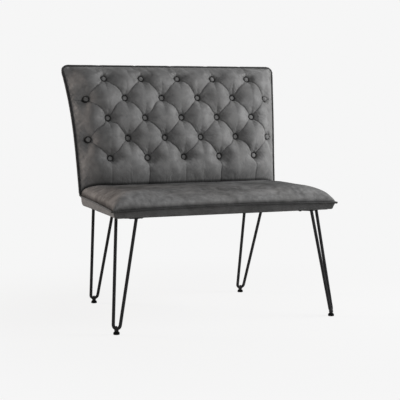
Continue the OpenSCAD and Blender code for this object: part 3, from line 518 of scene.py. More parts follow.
def plain(name, colours, size_mm, rough, bump_mm=0.1, metallic=0.0, ior=1.45, stretch=(1, 1, 1)):
    """A finish with noise of one size in its colour and surface."""
    made, tree, shader, place = material(name)
    place = add(tree, "Mapping", [("Vector", place)], Scale=stretch).outputs[0]
    grain = noise(tree, place, size_mm, detail=6, roughness=0.6)
    stops = list(zip(np.linspace(0.3, 0.7, len(colours)), colours))
    tree.links.new(shader.inputs["Base Color"], ramp(tree, grain, stops))
    gloss = remapped(tree, grain, (0.3, 0.7), (rough - 0.06, rough + 0.06))
    tree.links.new(shader.inputs["Roughness"], gloss)
    tune(shader, Metallic=metallic)
    if not metallic:
        tune(shader, IOR=ior)
    bump(tree, shader, [(grain, bump_mm)])
    return made


# Polyurethane leather with a rubbed, nubuck-like finish: dull mid-grey clouds, paler where rubbed
LEATHER = leather("pu_leather_rubbed_grey", "#616161", "#6b6b6b", "#787878", "#f2efec", 0.66)
# The same leather on the seat, where sitting has brought the clouds out more; its paler tone is
# painted light, which painted shade takes back towards the rear
LEATHER_SEAT = leather("pu_leather_rubbed_grey_seat", "#636363", "#787878", "#8e8e8e", "#f0ece8",
                       0.74, scuffed=0.4, specular=0.0, sheen=0.0)
# The same leather in a darker shade, for the rear
LEATHER_DARK = leather("pu_leather_dark_grey", "#2c2c2c", "#353535", "#404040", "#f0ece8", 0.7)
# The lower panel, in a mid shade between the grey and the dark shade; painted shade darkens it
# where it faces the front or the rear
LEATHER_LOWER = leather("pu_leather_lower_panel", "#4d4d4d", "#565656", "#606060", "#f4eeea", 0.7)
# The darkest shade, on the piping
LEATHER_WELT = leather("pu_leather_welt", "#151515", "#1d1d1d", "#2a2a2a", "#f0ece8", 0.6)
# Epoxy powder coat on steel: black, satin, with a fine orange-peel texture
POWDER_COAT = plain("powder_coat_satin_black", ["#242425", "#2e2e2f"], 0.9, 0.62, 0.05, ior=1.12)
# Moulded nylon of the foot pads, worn dull
NYLON_BLACK = plain("nylon_moulded_black", ["#080808", "#0e0e0e"], 1.5, 0.6, 0.03, ior=1.1)
# Black oxide on the bolts under the seat: thin, dull and nearly colourless
BLACK_OXIDE = plain("steel_black_oxide", ["#101010", "#191919"], 1.0, 0.55, 0.02, ior=1.4)
# Bright zinc plating with a faint mottle, on the tee nuts, the screws and the brackets
ZINC = plain("steel_zinc_plated", ["#9ea3a8", "#c3c7ca"], 2.5, 0.34, 0.02, metallic=1.0)
# What the upholstery hides: birch plywood, foam, wadding, dust cloth, waxed twine, nylon discs
PLYWOOD = plain("birch_plywood", ["#b08a55", "#cfae7c", "#dcc193"], 14, 0.62, 0.15,
                stretch=(0.12, 1, 1))
FOAM = plain("polyurethane_foam", ["#d8cc9c", "#ece2ba"], 2.2, 0.9, 0.5)
WADDING = plain("polyester_wadding", ["#dcdcd8", "#f0f0ee"], 5, 0.95, 1.0)
DUST_CLOTH = plain("non_woven_dust_cloth", ["#121212", "#242424"], 1.2, 0.9, 0.15)
TWINE = plain("waxed_twine", ["#cfc6ae", "#e9e2cf"], 0.8, 0.6, 0.1)
NYLON_NATURAL = plain("nylon_moulded_natural", ["#cfcfca", "#dededa"], 3, 0.5, 0.03)

SLOT_MATERIALS = {
    "plywood": PLYWOOD, "foam": FOAM, "wadding": WADDING, "leather_grey": LEATHER,
    "leather_dark": LEATHER_DARK, "dust_cloth": DUST_CLOTH, "twine": TWINE,
    "anchor_plastic": NYLON_NATURAL, "black_steel": POWDER_COAT, "pad_plastic": NYLON_BLACK,
    "zinc_steel": ZINC,
}
NODE_MATERIALS = {"leg_bolts": BLACK_OXIDE}
for part in frame["record"]["subparts"]:
    node, cad_slot = part["node"], part["material_slot"]
    cad_mesh = frame["nodes"][node].data
    cad_mesh.materials.clear()
    cad_mesh.materials.append(NODE_MATERIALS.get(node, SLOT_MATERIALS[cad_slot]))


# Seat cushion

# How dark the painted shade is along seams, on folds, round buttons and in the back's foot
SEAM_PAINTED_SHADE, FOLD_PAINTED_SHADE, BUTTON_RING_PAINTED_SHADE, FOOT_LINE_PAINTED_SHADE, FOOT_PAINTED_SHADE = 0.75, 0.38, 0.95, 0.96, 0.26
SEAM_PAINTED_SHADE_W = 2.2
SEAT_PAD_END_Y, PAD_EDGE_INSET = 478.0, 30.0
SEAT_ROLL_STEPS, SEAT_LENGTH_STEPS, SEAT_WIDTH_STEPS = 26, 66, 132
SEAT_HOLLOW, SEAT_GATHER, SEAT_PAINTED_SHADE = 0.5, 0.9, 0.35
SEAT_GROWTH, SEAT_MOVE_CAP = 0.008, 0.006


def seat_lines():
    """Places across and along the seat: even along the arc of each roll, and even between."""
    arc = 1 - np.cos(np.pi / 2 * np.linspace(0, 1, SEAT_ROLL_STEPS))
    return SEAT_SIDE_ROLL * arc, SEAT_FRONT_ROLL * arc, np.linspace(0, 1, SEAT_LENGTH_STEPS)[1:]


def seat_cushion():
    """Crowned seat: each place is (x, y, height of the rolled surface), with the seams drawn in,
    soft hollows between, and puckers that run in from the seams."""
    side, front, rest = seat_lines()
    flat = SEAT_PAD_END_Y - SEAM_INSET - SEAT_FRONT_ROLL
    y = np.concatenate([SEAM_INSET + front, SEAM_INSET + SEAT_FRONT_ROLL + flat * rest])[:, None]
    hw = seat_hw(y) - SEAM_INSET - corner_cut(y - SEAM_INSET, SEAT_CORNER_R - SEAM_INSET)
    middle = np.linspace(-1, 1, SEAT_WIDTH_STEPS)[1:-1]
    x = np.concatenate([-hw + side, (hw - SEAT_SIDE_ROLL) * middle, (hw - side)[:, ::-1]], 1)
    y = np.broadcast_to(y, x.shape)
    d_side, d_front = seat_hw(y) - SEAM_INSET - np.abs(x), y - SEAM_INSET
    seam_d = np.minimum(d_side, d_front)
    z = seat_z(x, y) + SEAT_HOLLOW * smooth(seam_d / 40) * ripple(x, y, 190, seed=3)
    along_seam = ripple(x * (d_front < d_side), y * (d_side <= d_front), 15, seed=5)
    z += SEAT_GATHER * gather_share(seam_d, 16) * along_seam
    px, py = ear(*drawn(x, y), np.exp(-seam_d / 9))
    surface = metres(np.stack([px, py, z], -1)).reshape(*x.shape, 3)
    edges = []
    for column in (0, -1):
        edge_x, edge_y = px[:, column], py[:, column]
        edges.append(metres(np.stack([
            edge_x - np.sign(edge_x) * PAD_EDGE_INSET,
            edge_y + PAD_EDGE_INSET * (1 - clamp01(edge_y / 200)),
            np.minimum(BOARD_TOP_Z + 1.0, z[:, column] - 2)], -1)))
    points, faces = closed_pad(surface, edges)
    faces = [grid_faces(*x.shape)] + faces
    held = np.maximum(np.exp(-seam_d / 7), smooth((y - 340) / 50))
    points = grown(points, faces, held, SEAT_GROWTH, SEAT_MOVE_CAP)
    obj = mesh_object("seat_cushion", points, faces, LEATHER_SEAT)
    # Painted shade: darker towards the rear, where the back shades the seat, and towards the left,
    # away from the key lamp, but not on the side rolls; and darker along the seams
    shade = SEAT_PAINTED_SHADE * (1 - 0.3 * x / seat_hw(y)) * smooth((y - 40) / 100)
    shade = shade * smooth((d_side - 30) / 70)
    paint_shade(obj, np.maximum(SEAM_PAINTED_SHADE * np.exp(-seam_d / SEAM_PAINTED_SHADE_W), shade))
    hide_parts("seat_cover", "seat_foam")


# Tufted back cushion

# Lines of the tufted grid beside, under and above the buttons, as a share of those per pitch
SIDE_LINES, FOOT_LINES, TOP_LINES, FOOT_LEVEL_S, FOOT_START_S = 0.9, 1.3, 1.1, 30.0, 36.0


def tufted_grid(per_pitch):
    """Places (x, s) of the tufted pad's grid. Between the outer buttons, per_pitch lines to half a
    button spacing, so that every fold runs along the cells' diagonals; outside, lines that
    close up towards the seams."""
    def even(reach):
        return np.arange(-reach * per_pitch, reach * per_pitch + 1) / per_pitch

    core, core_s = even(OUTER_COLUMN) * HALF_PITCH, MIDDLE_ROW_S + even(HALF_ROWS) * ROW_PITCH
    side_t = np.sin(np.pi / 2 * np.linspace(0, 1, int(per_pitch * SIDE_LINES))[1:])
    foot_t = np.linspace(0, 1, int(per_pitch * FOOT_LINES))[:-1]
    foot_t = 1 - np.sin(np.pi / 2 * (1 - foot_t)) * 0.5 - 0.5 * (1 - foot_t)
    top_t = np.sin(np.pi / 2 * np.linspace(0, 1, int(per_pitch * TOP_LINES))[1:])
    outer_x = OUTER_COLUMN * HALF_PITCH

    def row_x(s):
        hw = back_inner_hw(s, SEAM_INSET)[..., None]
        right = outer_x + (hw - outer_x) * side_t
        between = np.broadcast_to(core, (*hw.shape[:-1], len(core)))
        return np.concatenate([-right[..., ::-1], between, right], -1)

    s_top = core_s[-1] + (BACK_LEN - SEAM_INSET - core_s[-1]) * top_t
    s_foot = np.linspace(FOOT_START_S, core_s[0], len(foot_t) + 1)[:-1]
    s_flat = np.concatenate([s_foot, core_s, s_top])
    x = row_x(s_flat)
    s = np.broadcast_to(s_flat[:, None], x.shape).copy()
    depth, _ = tufting(x[0], np.full(x.shape[1], FOOT_LEVEL_S))
    n = back_pad(x[0], FOOT_LEVEL_S) - depth * seam_fade(x[0], FOOT_LEVEL_S)
    foot = foot_s(x[0], n - foot_tuck(0.0, n))
    s[:len(foot_t)] = foot + (core_s[0] - foot) * foot_t[:, None]
    return x, s, foot


def section_ends(per_pitch):
    """First, inner and last indices of the tufted grid's rows and columns, by section."""
    foot, top, side = (int(per_pitch * share) - 1 for share in (FOOT_LINES, TOP_LINES, SIDE_LINES))
    core_rows, core_columns = 2 * HALF_ROWS * per_pitch, 2 * OUTER_COLUMN * per_pitch
    return np.cumsum([0, foot, core_rows, top]), np.cumsum([0, side, core_columns, side])


def foot_tuck(above, n):
    """How far the foot of the pad rolls in under itself: a parabola over its reach."""
    return FOOT_TUCK * smooth(n / 40) * (1 - clamp01(above / FOOT_REACH)) ** 2


def seam_fade(x, s):
    return clamp01(seam_distance(x, s) / 30)


def puff_rise(x, s):
    """How far the stuffing swells the leather past the plain padding, away from its seams."""
    return PUFF_RISE * smooth(seam_distance(x, s) / 70) * smooth((s - 60) / 60)


# Depths of what the fine grid adds to the tufting: the sag round each button, uneven puffs, the
# groove along a fold, the moat close round a button, creases near it and gathers at the seams; and
# how far the pattern wanders
SAG, UNEVEN, GROOVE, MOAT, CREASE, GATHER, WANDER = 6.0, 1.1, 1.2, 4.5, 0.8, 1.2, 1.6
BACK_GROWTH, BACK_MOVE_CAP = 0.0045, 0.006


def back_form(per_pitch):
    """Tufted pad: the padding less the tufting, with a moat round each button, a tucked foot,
    uneven puffs and small creases beside the folds. Returns its grid of points and its painted
    shade."""
    x, s, foot = tufted_grid(per_pitch)
    depth, line = tufting(x, s)
    fade = seam_fade(x, s)
    across, up = x[..., None] - BUTTONS[:, 0], s[..., None] - BUTTONS[:, 1]
    away = np.sqrt((across ** 2 + up ** 2).min(-1))
    free = smooth((away - 8) / 30) * smooth(fade) * smooth((s - foot) / 60)
    lift = sway(x, s)
    seam_d = seam_distance(x, s)
    n = back_pad(x, s + lift) + puff_rise(x, s) - depth * fade - SAG * bell(away, 20)
    n += UNEVEN * free * ripple(x, s, 95, seed=11)
    n -= GROOVE * line * fade * smooth((away - 6) / 10)
    n -= MOAT * bell(np.maximum(0, away - BUTTON_R - 1.5), 2.2)
    crease = bell(away, 34) * smooth((away - 10) / 8)
    n += CREASE * crease * ripple(x, s, 11, seed=17)
    n += GATHER * gather_share(seam_d, 15) * ripple(x, s, 15, seed=23)
    n -= foot_tuck(s - foot, n)
    px = x + WANDER * free * ripple(x, s, 70, seed=31)
    ps = s + lift + WANDER * free * ripple(x, s, 70, seed=37)
    surface = metres(back_point(px, ps, n)).reshape(*x.shape, 3)
    edge_n = np.minimum(BOARD_N + 1, n - 2)
    edges = [metres(back_point(x[:, c], s[:, c], edge_n[:, c])) for c in (0, -1)]
    # Painted shade: lines on the folds, a ring in each button's pit, lines along the seams, a dark
    # line where the pad meets the seat and a softer shadow above it
    shade = np.maximum.reduce([
        FOLD_PAINTED_SHADE * line * fade,
        BUTTON_RING_PAINTED_SHADE * bell(np.maximum(0, away - BUTTON_R - 2.0), 1.6),
        SEAM_PAINTED_SHADE * np.exp(-seam_d / SEAM_PAINTED_SHADE_W),
        FOOT_LINE_PAINTED_SHADE * bell(np.maximum(0, s - foot - 3), 8),
        FOOT_PAINTED_SHADE * bell(s - foot, 38) * smooth(seam_d / 20)])
    held = np.maximum.reduce([
        bell(np.maximum(0, away - BUTTON_R - 2), 5),
        0.55 * line ** 0.15 * fade,
        np.exp(-np.minimum(seam_d, s - foot) / 8)])
    return x, s, surface, edges, shade, held


def back_cushion(per_pitch=32):
    """The tufted pad, swelled by a cloth simulation on a grid half as fine, whose movement is then
    read at the fine grid's places."""
    x, s, surface, edges, shade, _ = back_form(per_pitch)
    half = per_pitch // 2
    cx, cs, form, form_edges, _, held = back_form(half)
    points, faces = closed_pad(form, form_edges)
    faces = [fold_faces(cx, cs)] + faces
    moved = grown(points, faces, held, BACK_GROWTH, BACK_MOVE_CAP) - points
    places = [np.interp(np.arange(count), fine, coarse) for count, fine, coarse
              in zip(x.shape, section_ends(per_pitch), section_ends(half))]
    surface = surface + refined(moved[:cx.size].reshape(*cx.shape, 3), *places)
    points, faces = closed_pad(surface, edges)
    obj = mesh_object("back_cushion", points, [fold_faces(x, s)] + faces, LEATHER)
    paint_shade(obj, shade)
    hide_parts("back_tufted_cover", "back_foam")


def fold_faces(x, s):
    """Triangles of the tufted grid, each cell cut along the diagonal that its nearer fold takes."""
    q = grid_faces(*x.shape)
    column = x.reshape(-1)[q].mean(1) / HALF_PITCH
    row = (s.reshape(-1)[q].mean(1) - MIDDLE_ROW_S) / ROW_PITCH
    to_rising = np.abs(np.sin(np.pi / 2 * (column - row)))
    to_falling = np.abs(np.sin(np.pi / 2 * (column + row)))
    rising = (to_rising < to_falling)[:, None]
    return np.concatenate([np.where(rising, q[:, [0, 1, 2]], q[:, [0, 1, 3]]),
                           np.where(rising, q[:, [0, 2, 3]], q[:, [1, 2, 3]])])


BUTTON_SINK, BUTTON_SIDES, TWINE_SIDES, BUTTON_FLANK_PAINTED_SHADE = 3.0, 36, 16, 0.9
# Radii of a twine's knot and shaft, the knot's length, and how far the twine goes into the button
KNOT_R, TWINE_R, KNOT_LEN, TWINE_IN_BUTTON = 2.5, 1.1, 2.1, 1.2


def button_n(x, s):
    """How far in front of the seam line a button's underside sits: in its pit, less deep where
    the padding slopes across it."""
    depth, _ = tufting(x, s)
    side = abs(back_pad(abs(x) + BUTTON_R, s) - back_pad(x, s))
    up = abs(back_pad(x, s + BUTTON_R) - back_pad(x, s))
    return back_pad(x, s) + puff_rise(x, s) - depth - BUTTON_SINK + 0.8 * max(side, up)


def turned_at_buttons(radius, heights, sides, gathers=0.0):
    """A profile turned round each button's own axis: rings of the given radii stand at each
    button's heights, and a single face closes each end. The first rings can be gathered."""
    turn = np.linspace(0, 2 * np.pi, sides, endpoint=False)
    wave = 1 + gathers * np.cos(15 * turn)[None, :] * (np.arange(len(radius)) < 4)[:, None]
    px, py = radius[:, None] * np.cos(turn) * wave, radius[:, None] * np.sin(turn) * wave
    count, points, faces = px.size, [], []
    for k, (x, s) in enumerate(BUTTONS):
        lean = lean_at(s)
        ways = np.array([[1, 0, 0], [0, math.sin(lean), math.cos(lean)],
                         [0, -math.cos(lean), math.sin(lean)]])
        pz = np.broadcast_to(heights[k][:, None], px.shape)
        points.append(back_point(x, s, 0.0) + px[..., None] * ways[0] + py[..., None] * ways[1]
                      + pz[..., None] * ways[2])
        start = k * count
        faces += [grid_faces(*px.shape, wrap_columns=True, start=start),
                  start + np.arange(sides)[::-1], start + count - sides + np.arange(sides)]
    return metres(np.concatenate([p.reshape(-1, 3) for p in points])), faces


def covered_buttons():
    """Leather-covered buttons: a quarter-ellipse dome over a narrow shank, with small gathers
    round the rim."""
    t = np.linspace(0, np.pi / 2, 11)
    radius = np.concatenate([[3.0, BUTTON_R * 0.86], BUTTON_R * np.cos(t)[:-1] ** 0.75, [0.25]])
    height = np.concatenate([[0.0, RIM_LIFT * 0.55], RIM_LIFT + BUTTON_H * np.sin(t)[:-1],
                             [RIM_LIFT + BUTTON_H]])
    heights = [button_n(x, s) + height for x, s in BUTTONS]
    points, faces = turned_at_buttons(radius, heights, BUTTON_SIDES, gathers=0.012)
    obj = mesh_object("covered_buttons", points, faces, LEATHER)
    # Painted shade on each button's flank and shank, down in its pit
    rim = smooth((radius - BUTTON_R * 0.8) / (BUTTON_R * 0.16)) + (np.arange(len(radius)) < 2)
    shade = BUTTON_FLANK_PAINTED_SHADE * np.minimum(1, rim)
    paint_shade(obj, np.tile(np.repeat(shade, BUTTON_SIDES), len(BUTTONS)))
    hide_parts("back_buttons")


def button_twines():
    """Twines that hold the buttons: straight from a knot behind the board's anchor to inside the
    button, each a narrow cylinder on a wide one."""
    radius = np.array([0.3, KNOT_R, KNOT_R, TWINE_R, TWINE_R, 0.2])
    front = TWINE_END_N - 0.1
    knot = [front - KNOT_LEN, front - KNOT_LEN, front, front]
    heights = [np.array(knot + [button_n(x, s) + TWINE_IN_BUTTON] * 2) for x, s in BUTTONS]
    points, faces = turned_at_buttons(radius, heights, TWINE_SIDES)
    obj = mesh_object("button_twines", points, faces, TWINE, sharp=40)
    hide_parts("button_cords")


# Lower cover, rear cover and welt

def rounded_outline(corners, radii, steps, counts):
    """A convex outline with rounded corners: points on each arc, then even points on the straight
    that follows it."""
    points = []
    total = len(corners)
    for i in range(total):
        here = np.array(corners[i], float)
        before = np.array(corners[i - 1], float) - here
        after = np.array(corners[(i + 1) % total], float) - here
        before, after = before / np.linalg.norm(before), after / np.linalg.norm(after)
        half, inwards = math.acos(before @ after) / 2, before + after
        centre = here + inwards / np.linalg.norm(inwards) * radii[i] / math.sin(half)
        start = here + before * radii[i] / math.tan(half) - centre
        angles = (math.pi - 2 * half) * np.arange(steps + 1) / steps
        arc = np.stack([centre[0] + start[0] * np.cos(angles) - start[1] * np.sin(angles),
                        centre[1] + start[0] * np.sin(angles) + start[1] * np.cos(angles)], -1)
        points.append((arc, counts[i]))
    rows = []
    for i, (arc, count) in enumerate(points):
        a, b = arc[-1], points[(i + 1) % total][0][0]
        share = np.arange(count)[:, None] / count
        rows += [arc[:-1], a + (b - a) * share]
    return np.concatenate(rows)


# Profile of the lower cover from the seam down: how far in from the seam, and how far up
LOWER_INSETS = [0, 0.9, 1.9, 3.0, 4.3, 6.2, 10, TUCK_IN, TUCK_IN + HEM_W]
LOWER_RISES = [1, 0.84, 0.65, 0.46, 0.28, 0.12, 0.035, 0.0, 0.0]
LOWER_WALL, LOWER_WAVE, LOWER_FRONT_PAINTED_SHADE, LOWER_RIM_PAINTED_SHADE = 1.8, 0.7, 0.53, 0.85


def lower_cover():
    """Lower cover: a profile that falls from the seam and tucks in under the seat, carried round
    the seat's outline, with a thin wall and long soft waves. Painted shade darkens it where it
    faces the front or the rear, and under its rim."""
    t = np.linspace(0, 1, 26)
    knots = np.linspace(0, 1, len(LOWER_INSETS))
    profile = np.stack([np.interp(t, knots, LOWER_INSETS), np.interp(t, knots, LOWER_RISES)])
    for _ in range(2):
        profile[:, 1:-1] = (profile[:, :-2] + 2 * profile[:, 1:-1] + profile[:, 2:]) / 4
    inset, rise = profile
    low, rear = UNDERSIDE_Z + DUST_COVER_T, SEAT_D + REAR_DEPTH
    rings = []
    for wall in (0.0, LOWER_WALL):
        for k in (range(len(t)) if wall == 0 else reversed(range(len(t)))):
            at = SEAM_INSET + inset[k] + wall * (1 if rise[k] > 0.02 else 0)
            corners = [(-SEAT_FRONT_W / 2 + at, at), (SEAT_FRONT_W / 2 - at, at),
                       (SEAT_REAR_W / 2 - at, rear - at), (-SEAT_REAR_W / 2 + at, rear - at)]
            radii = [max(1, SEAT_CORNER_R - at)] * 2 + [max(1, 24 - at)] * 2
            out_x, out_y = rounded_outline(corners, radii, 8, [150, 84, 140, 84]).T
            x, y = ear(*drawn(out_x, out_y), rise[k] ** 2)
            rim = seam_z(out_x, out_y) - 0.1
            z = low + (rim - low) * rise[k] + (wall * 0.9 if rise[k] <= 0.3 else 0)
            bulge = LOWER_WAVE * math.sin(math.pi * min(1, rise[k] * 1.1))
            swell = bulge * ripple(out_x, out_y, 60, seed=41)
            rings.append(np.stack([x + swell * (out_x / SEAT_FRONT_W * 2),
                                   y + swell * (out_y / SEAT_D * 2 - 1), z], -1))
    rings = np.stack(rings)
    faces = grid_faces(*rings.shape[:2], wrap_rows=True, wrap_columns=True)[:, ::-1]
    obj = mesh_object("lower_cover", metres(rings), [faces], LEATHER_LOWER)
    # Painted shade: darker where the panel faces the front or the rear, and in a band under the rim
    along = np.roll(rings, -1, 1) - np.roll(rings, 1, 1)
    facing = np.abs(along[..., 0]) / np.maximum(1e-6, np.linalg.norm(along[..., :2], axis=-1))
    shade = LOWER_FRONT_PAINTED_SHADE * smooth(facing)
    painted_shade_under_rim = LOWER_RIM_PAINTED_SHADE * np.exp(-(1 - rise) * 24)
    shade[:len(t)] = np.maximum(shade[:len(t)], painted_shade_under_rim[:, None])
    paint_shade(obj, shade)
    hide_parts("seat_lower_cover")


REAR_EDGE_ROLL, REAR_WAVE, REAR_GATHER, REAR_SEAM_PAINTED_SHADE = 24.0, 0.8, 0.9, 0.7


def rear_cover():
    """Rear cover: a shallow padded face behind the seam line, rolled at the sides and top by a
    quarter sine, with a thin wall."""
    edge = REAR_EDGE_ROLL * (1 - np.cos(np.pi / 2 * np.linspace(0, 1, 14)))
    top = BACK_LEN - SEAM_INSET
    s = np.concatenate([np.linspace(0, top - REAR_EDGE_ROLL, 110), top - edge[::-1][1:]])
    hw = back_inner_hw(s, SEAM_INSET)[:, None]
    middle = np.linspace(-1, 1, 160)[1:-1]
    x = np.concatenate([-hw + edge, (hw - REAR_EDGE_ROLL) * middle, (hw - edge)[:, ::-1]], 1)
    s = np.broadcast_to(s[:, None], x.shape)
    seam_d = seam_distance(x, s)
    full = (roll(back_hw(s) - SEAM_INSET - np.abs(x), REAR_EDGE_ROLL, 0.5)
            * roll(top - s, REAR_EDGE_ROLL, 0.5))
    n = -RIM_RISE - (REAR_DEPTH - RIM_RISE) * full
    n = n - REAR_WAVE * smooth(seam_d / 40) * ripple(x, s, 150, seed=53)
    n -= REAR_GATHER * gather_share(seam_d, 14) * ripple(x, s, 16, seed=59)
    at_foot = (0.2 - n * math.sin(BACK_LEAN)) / math.cos(BACK_LEAN)
    s = np.maximum(s, at_foot)
    skins = np.stack([back_point(x, s, n), back_point(x, s, np.minimum(n + 2.0, -0.3))])
    rows, columns = x.shape
    count = rows * columns
    rim = np.concatenate([np.arange(columns), np.arange(1, rows) * columns + columns - 1,
                          (rows - 1) * columns + np.arange(columns - 2, -1, -1),
                          np.arange(rows - 2, 0, -1) * columns])
    following = np.roll(rim, -1)
    walls = np.stack([rim, following, following + count, rim + count], -1)
    faces = [grid_faces(rows, columns)[:, ::-1], grid_faces(rows, columns, start=count), walls]
    obj = mesh_object("rear_cover", metres(skins), faces, LEATHER_DARK)
    # Painted shade along the seams
    paint_shade(obj, REAR_SEAM_PAINTED_SHADE * np.exp(-seam_d / SEAM_PAINTED_SHADE_W))
    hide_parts("back_rear_cover")


# Thickness of the welt round the seat and round the back as shares of its radius, the notch of a
# pleat in the top seam, and where the back's part of the route starts
WELT_ON_SEAT, WELT_ON_BACK, NOTCH, NOTCH_W, ROUTE_START_S = 0.96, 1.3, 1.6, 6.0, 7.0


def welt_route():
    """The welt's route: along the front and side seams of the seat, up the back's side seams and
    over its top, with the direction that points out of the cover at each point."""
    radius = SEAT_CORNER_R
    front_x = (seat_hw(0) - radius) * np.linspace(0, 1, 60)
    turn = np.pi / 2 * np.linspace(0, 1, 14)[1:]
    side_y = radius + (SEAT_D - 6 - radius) * np.linspace(0, 1, 110)[1:]
    x = np.concatenate([front_x, seat_hw(0) - radius * (1 - np.sin(turn)), seat_hw(side_y)])
    y = np.concatenate([np.zeros_like(front_x), radius * (1 - np.cos(turn)), side_y])
    seat = np.stack([*ear(*drawn(x, y)), seam_z(x, y)], -1)
    seat_out = np.tile([0.0, 0.0, 1.0], (len(seat), 1))
    r = BACK_CORNER_R
    s = ROUTE_START_S + (BACK_LEN - r - ROUTE_START_S) * np.linspace(0, 1, 130)
    x = back_hw(s)
    turn = np.pi / 2 * np.linspace(0, 1, 16)[1:]
    s_turn = BACK_LEN - r * (1 - np.sin(turn))
    x_turn = back_hw(s_turn) - r * (1 - np.cos(turn))
    x_top = (back_hw(BACK_LEN) - r) * (1 - np.linspace(0, 1, 110)[1:])
    x = np.concatenate([x, x_turn, x_top])
    notches = bell(x_top[:, None] - np.arange(0, 5, 2) * HALF_PITCH, NOTCH_W).sum(1)
    s = np.concatenate([s, s_turn, BACK_LEN - NOTCH * notches])
    back = back_point(x, s, 0.0)
    lean = lean_at(s)
    back_out = np.stack([np.zeros_like(lean), -np.cos(lean), np.sin(lean)], -1)
    half, out = np.concatenate([seat, back]), np.concatenate([seat_out, back_out])
    thick = np.repeat([WELT_ON_SEAT, WELT_ON_BACK], [len(seat), len(back)])
    mirror = np.array([-1, 1, 1])
    return (np.concatenate([half, half[-2:0:-1] * mirror]),
            np.concatenate([out, out[-2:0:-1] * mirror]), np.concatenate([thick, thick[-2:0:-1]]))


def even_loop(points, out, thick, step):
    """A closed route at even steps along its length, smoothed over a few steps."""
    values = np.concatenate([points, out, thick[:, None]], 1)
    values = np.concatenate([values, values[:1]])
    length = np.cumsum(np.linalg.norm(np.diff(values[:, :3], axis=0), axis=1))
    length = np.concatenate([[0], length])
    at = np.linspace(0, length[-1], int(length[-1] / step), endpoint=False)
    values = np.stack([np.interp(at, length, column) for column in values.T], -1)
    p, rest = evened(values[:, :3], 3), evened(values[:, 3:], 8)
    return p, rest[:, :3] / np.linalg.norm(rest[:, :3], axis=1)[:, None], rest[:, 3], at


def piping():
    """Piping: a round cord under leather carried along the seam. Its radius swells and pinches a
    little, more so round the corners, where the leather is gathered."""
    p, o, thick, at = even_loop(*welt_route(), 3.0)
    along = np.roll(p, -1, 0) - np.roll(p, 1, 0)
    along /= np.linalg.norm(along, axis=1)[:, None]
    o = o - (o * along).sum(1)[:, None] * along
    o /= np.linalg.norm(o, axis=1)[:, None]
    across = np.cross(along, o)
    bend = evened(np.linalg.norm(np.roll(along, -3, 0) - np.roll(along, 3, 0), axis=1), 6)
    turn = np.linspace(0, 2 * np.pi, 16, endpoint=False)
    gather = ripple(at[:, None] + 2 * np.sin(turn)[None, :], 0, 9, seed=61)
    swing = (0.03 + 0.2 * np.minimum(1, 4 * bend))[:, None] * 0.55
    radius = WELT_R * thick[:, None] * (1 + swing * gather)
    rings = p[:, None] + radius[..., None] * (np.cos(turn)[None, :, None] * o[:, None]
                                              + np.sin(turn)[None, :, None] * across[:, None])
    faces = grid_faces(*rings.shape[:2], wrap_rows=True, wrap_columns=True)
    obj = mesh_object("piping", metres(rings), [faces], LEATHER_WELT)
    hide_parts("welt")


seat_cushion()
back_cushion()
covered_buttons()
button_twines()
lower_cover()
rear_cover()
piping()


# Studio: floor, lights and camera

STUDIO_WHITE, WORLD_LIGHT = "#f6f6f6", 0.08
FLOOR_HALF, FLOOR_NEAR, FLOOR_FAR, FLOOR_NEAR_SHARE = 12.0, 0.5, 1.5, 0.91
# Soft square lamps that face the bench: azimuth and elevation in degrees, distance and side in
# metres, watts, colour
LAMPS = {
    "key": (64, 21, 2.4, 0.9, 56, "#ffffff"),
    "front": (-5, 18, 3.6, 1.6, 32, "#ffffff"),
    "fill": (-122, 12, 3.6, 1.2, 98, "#fff0e6"),
    "rear": (165, 4, 3.6, 1.8, 36, "#ffffff"),
}
LAMP_TARGET = np.array([0, 0.1, 0.6])
# The photograph's camera, from a fit to mirrored points of the bench
CAMERA_PLACE = (-1.64935, -3.66585 - Y_MID * 0.001, 0.84552)
CAMERA_DOWN, CAMERA_TURN, CAMERA_LENS, CAMERA_SENSOR = 5.43, -22.69, 99.70, 36.0


def seen_share(tree, kinds):
    """1 for rays of the given kinds, 0 for those that gather light."""
    rays = add(tree, "LightPath").outputs
    share = rays[kinds[0]]
    for kind in kinds[1:]:
        share = calculate(tree, "MAXIMUM", share, rays[kind])
    return share


def studio_world(scene):
    """An even pale backdrop that is seen and mirrored, but gives little light."""
    world = bpy.data.worlds.new("studio")
    scene.world = world
    world.use_nodes = True
    tree = world.node_tree
    tree.nodes.clear()
    seen = seen_share(tree, ["Is Camera Ray", "Is Glossy Ray", "Is Transmission Ray"])
    light = add(tree, "Background", Color=linear("#ffffff"), Strength=WORLD_LIGHT)
    white = add(tree, "Background", Color=linear(STUDIO_WHITE), Strength=1.0)
    mixed = add(tree, "MixShader", [(0, seen), (1, light.outputs[0]), (2, white.outputs[0])])
    add(tree, "OutputWorld", [("Surface", mixed.outputs[0])])


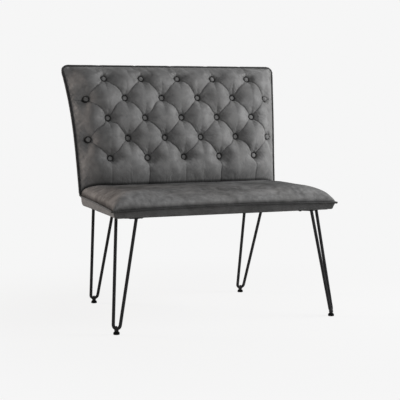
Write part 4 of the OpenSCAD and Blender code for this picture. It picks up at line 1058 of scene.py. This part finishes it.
def studio_floor():
    """A floor that shows the backdrop's white, with a faint share of real shadow near the bench."""
    made, tree, shader, place = material("studio_floor")
    tune(shader, Base_Color=linear(STUDIO_WHITE), Roughness=0.9, Specular_IOR_Level=0.0)
    seen = seen_share(tree, ["Is Camera Ray", "Is Glossy Ray"])
    reach = add(tree, "VectorMath", [(0, place)], operation="LENGTH").outputs["Value"]
    plain_share = remapped(tree, reach, (FLOOR_NEAR, FLOOR_FAR), (FLOOR_NEAR_SHARE, 1.0),
                           interpolation_type="SMOOTHSTEP")
    share = calculate(tree, "MULTIPLY", seen, plain_share)
    glow = add(tree, "Emission", Color=linear(STUDIO_WHITE), Strength=1.0)
    mixed = add(tree, "MixShader", [(0, share), (1, shader.outputs[0]), (2, glow.outputs[0])])
    tree.links.new(tree.nodes["Material Output"].inputs["Surface"], mixed.outputs[0])
    mesh = bpy.data.meshes.new("floor")
    corners = [(x * FLOOR_HALF, y * FLOOR_HALF, 0) for x, y in ((-1, -1), (1, -1), (1, 1), (-1, 1))]
    mesh.from_pydata(corners, [], [(0, 1, 2, 3)])
    mesh.materials.append(made)
    floor = placed("floor", mesh)


def studio():
    """A pale sweep, a near soft light from the right, a warm one from behind on the left, weaker
    ones from the front and the rear, and the camera at the photograph's angle."""
    scene = bpy.context.scene
    scene.view_settings.view_transform = "Standard"
    studio_world(scene)
    studio_floor()
    for name, (azimuth, elevation, distance, side, watts, colour) in LAMPS.items():
        lamp = bpy.data.lights.new(name, "AREA")
        lamp.size = side
        lamp.energy = watts
        lamp.color = linear(colour)[:3]
        holder = placed(name, lamp)
        turn, rise = math.radians(azimuth), math.radians(elevation)
        level = math.cos(rise)
        direction = (math.sin(turn) * level, -math.cos(turn) * level, math.sin(rise))
        holder.location = LAMP_TARGET + distance * np.array(direction)
        holder.rotation_euler = (math.pi / 2 - rise, 0, turn)

    camera = bpy.data.cameras.new("camera")
    camera.sensor_width = CAMERA_SENSOR
    camera.lens = CAMERA_LENS
    holder = placed("camera", camera)
    holder.location = CAMERA_PLACE
    holder.rotation_euler = (math.radians(90 - CAMERA_DOWN), 0, math.radians(CAMERA_TURN))
    scene.camera = holder


studio()
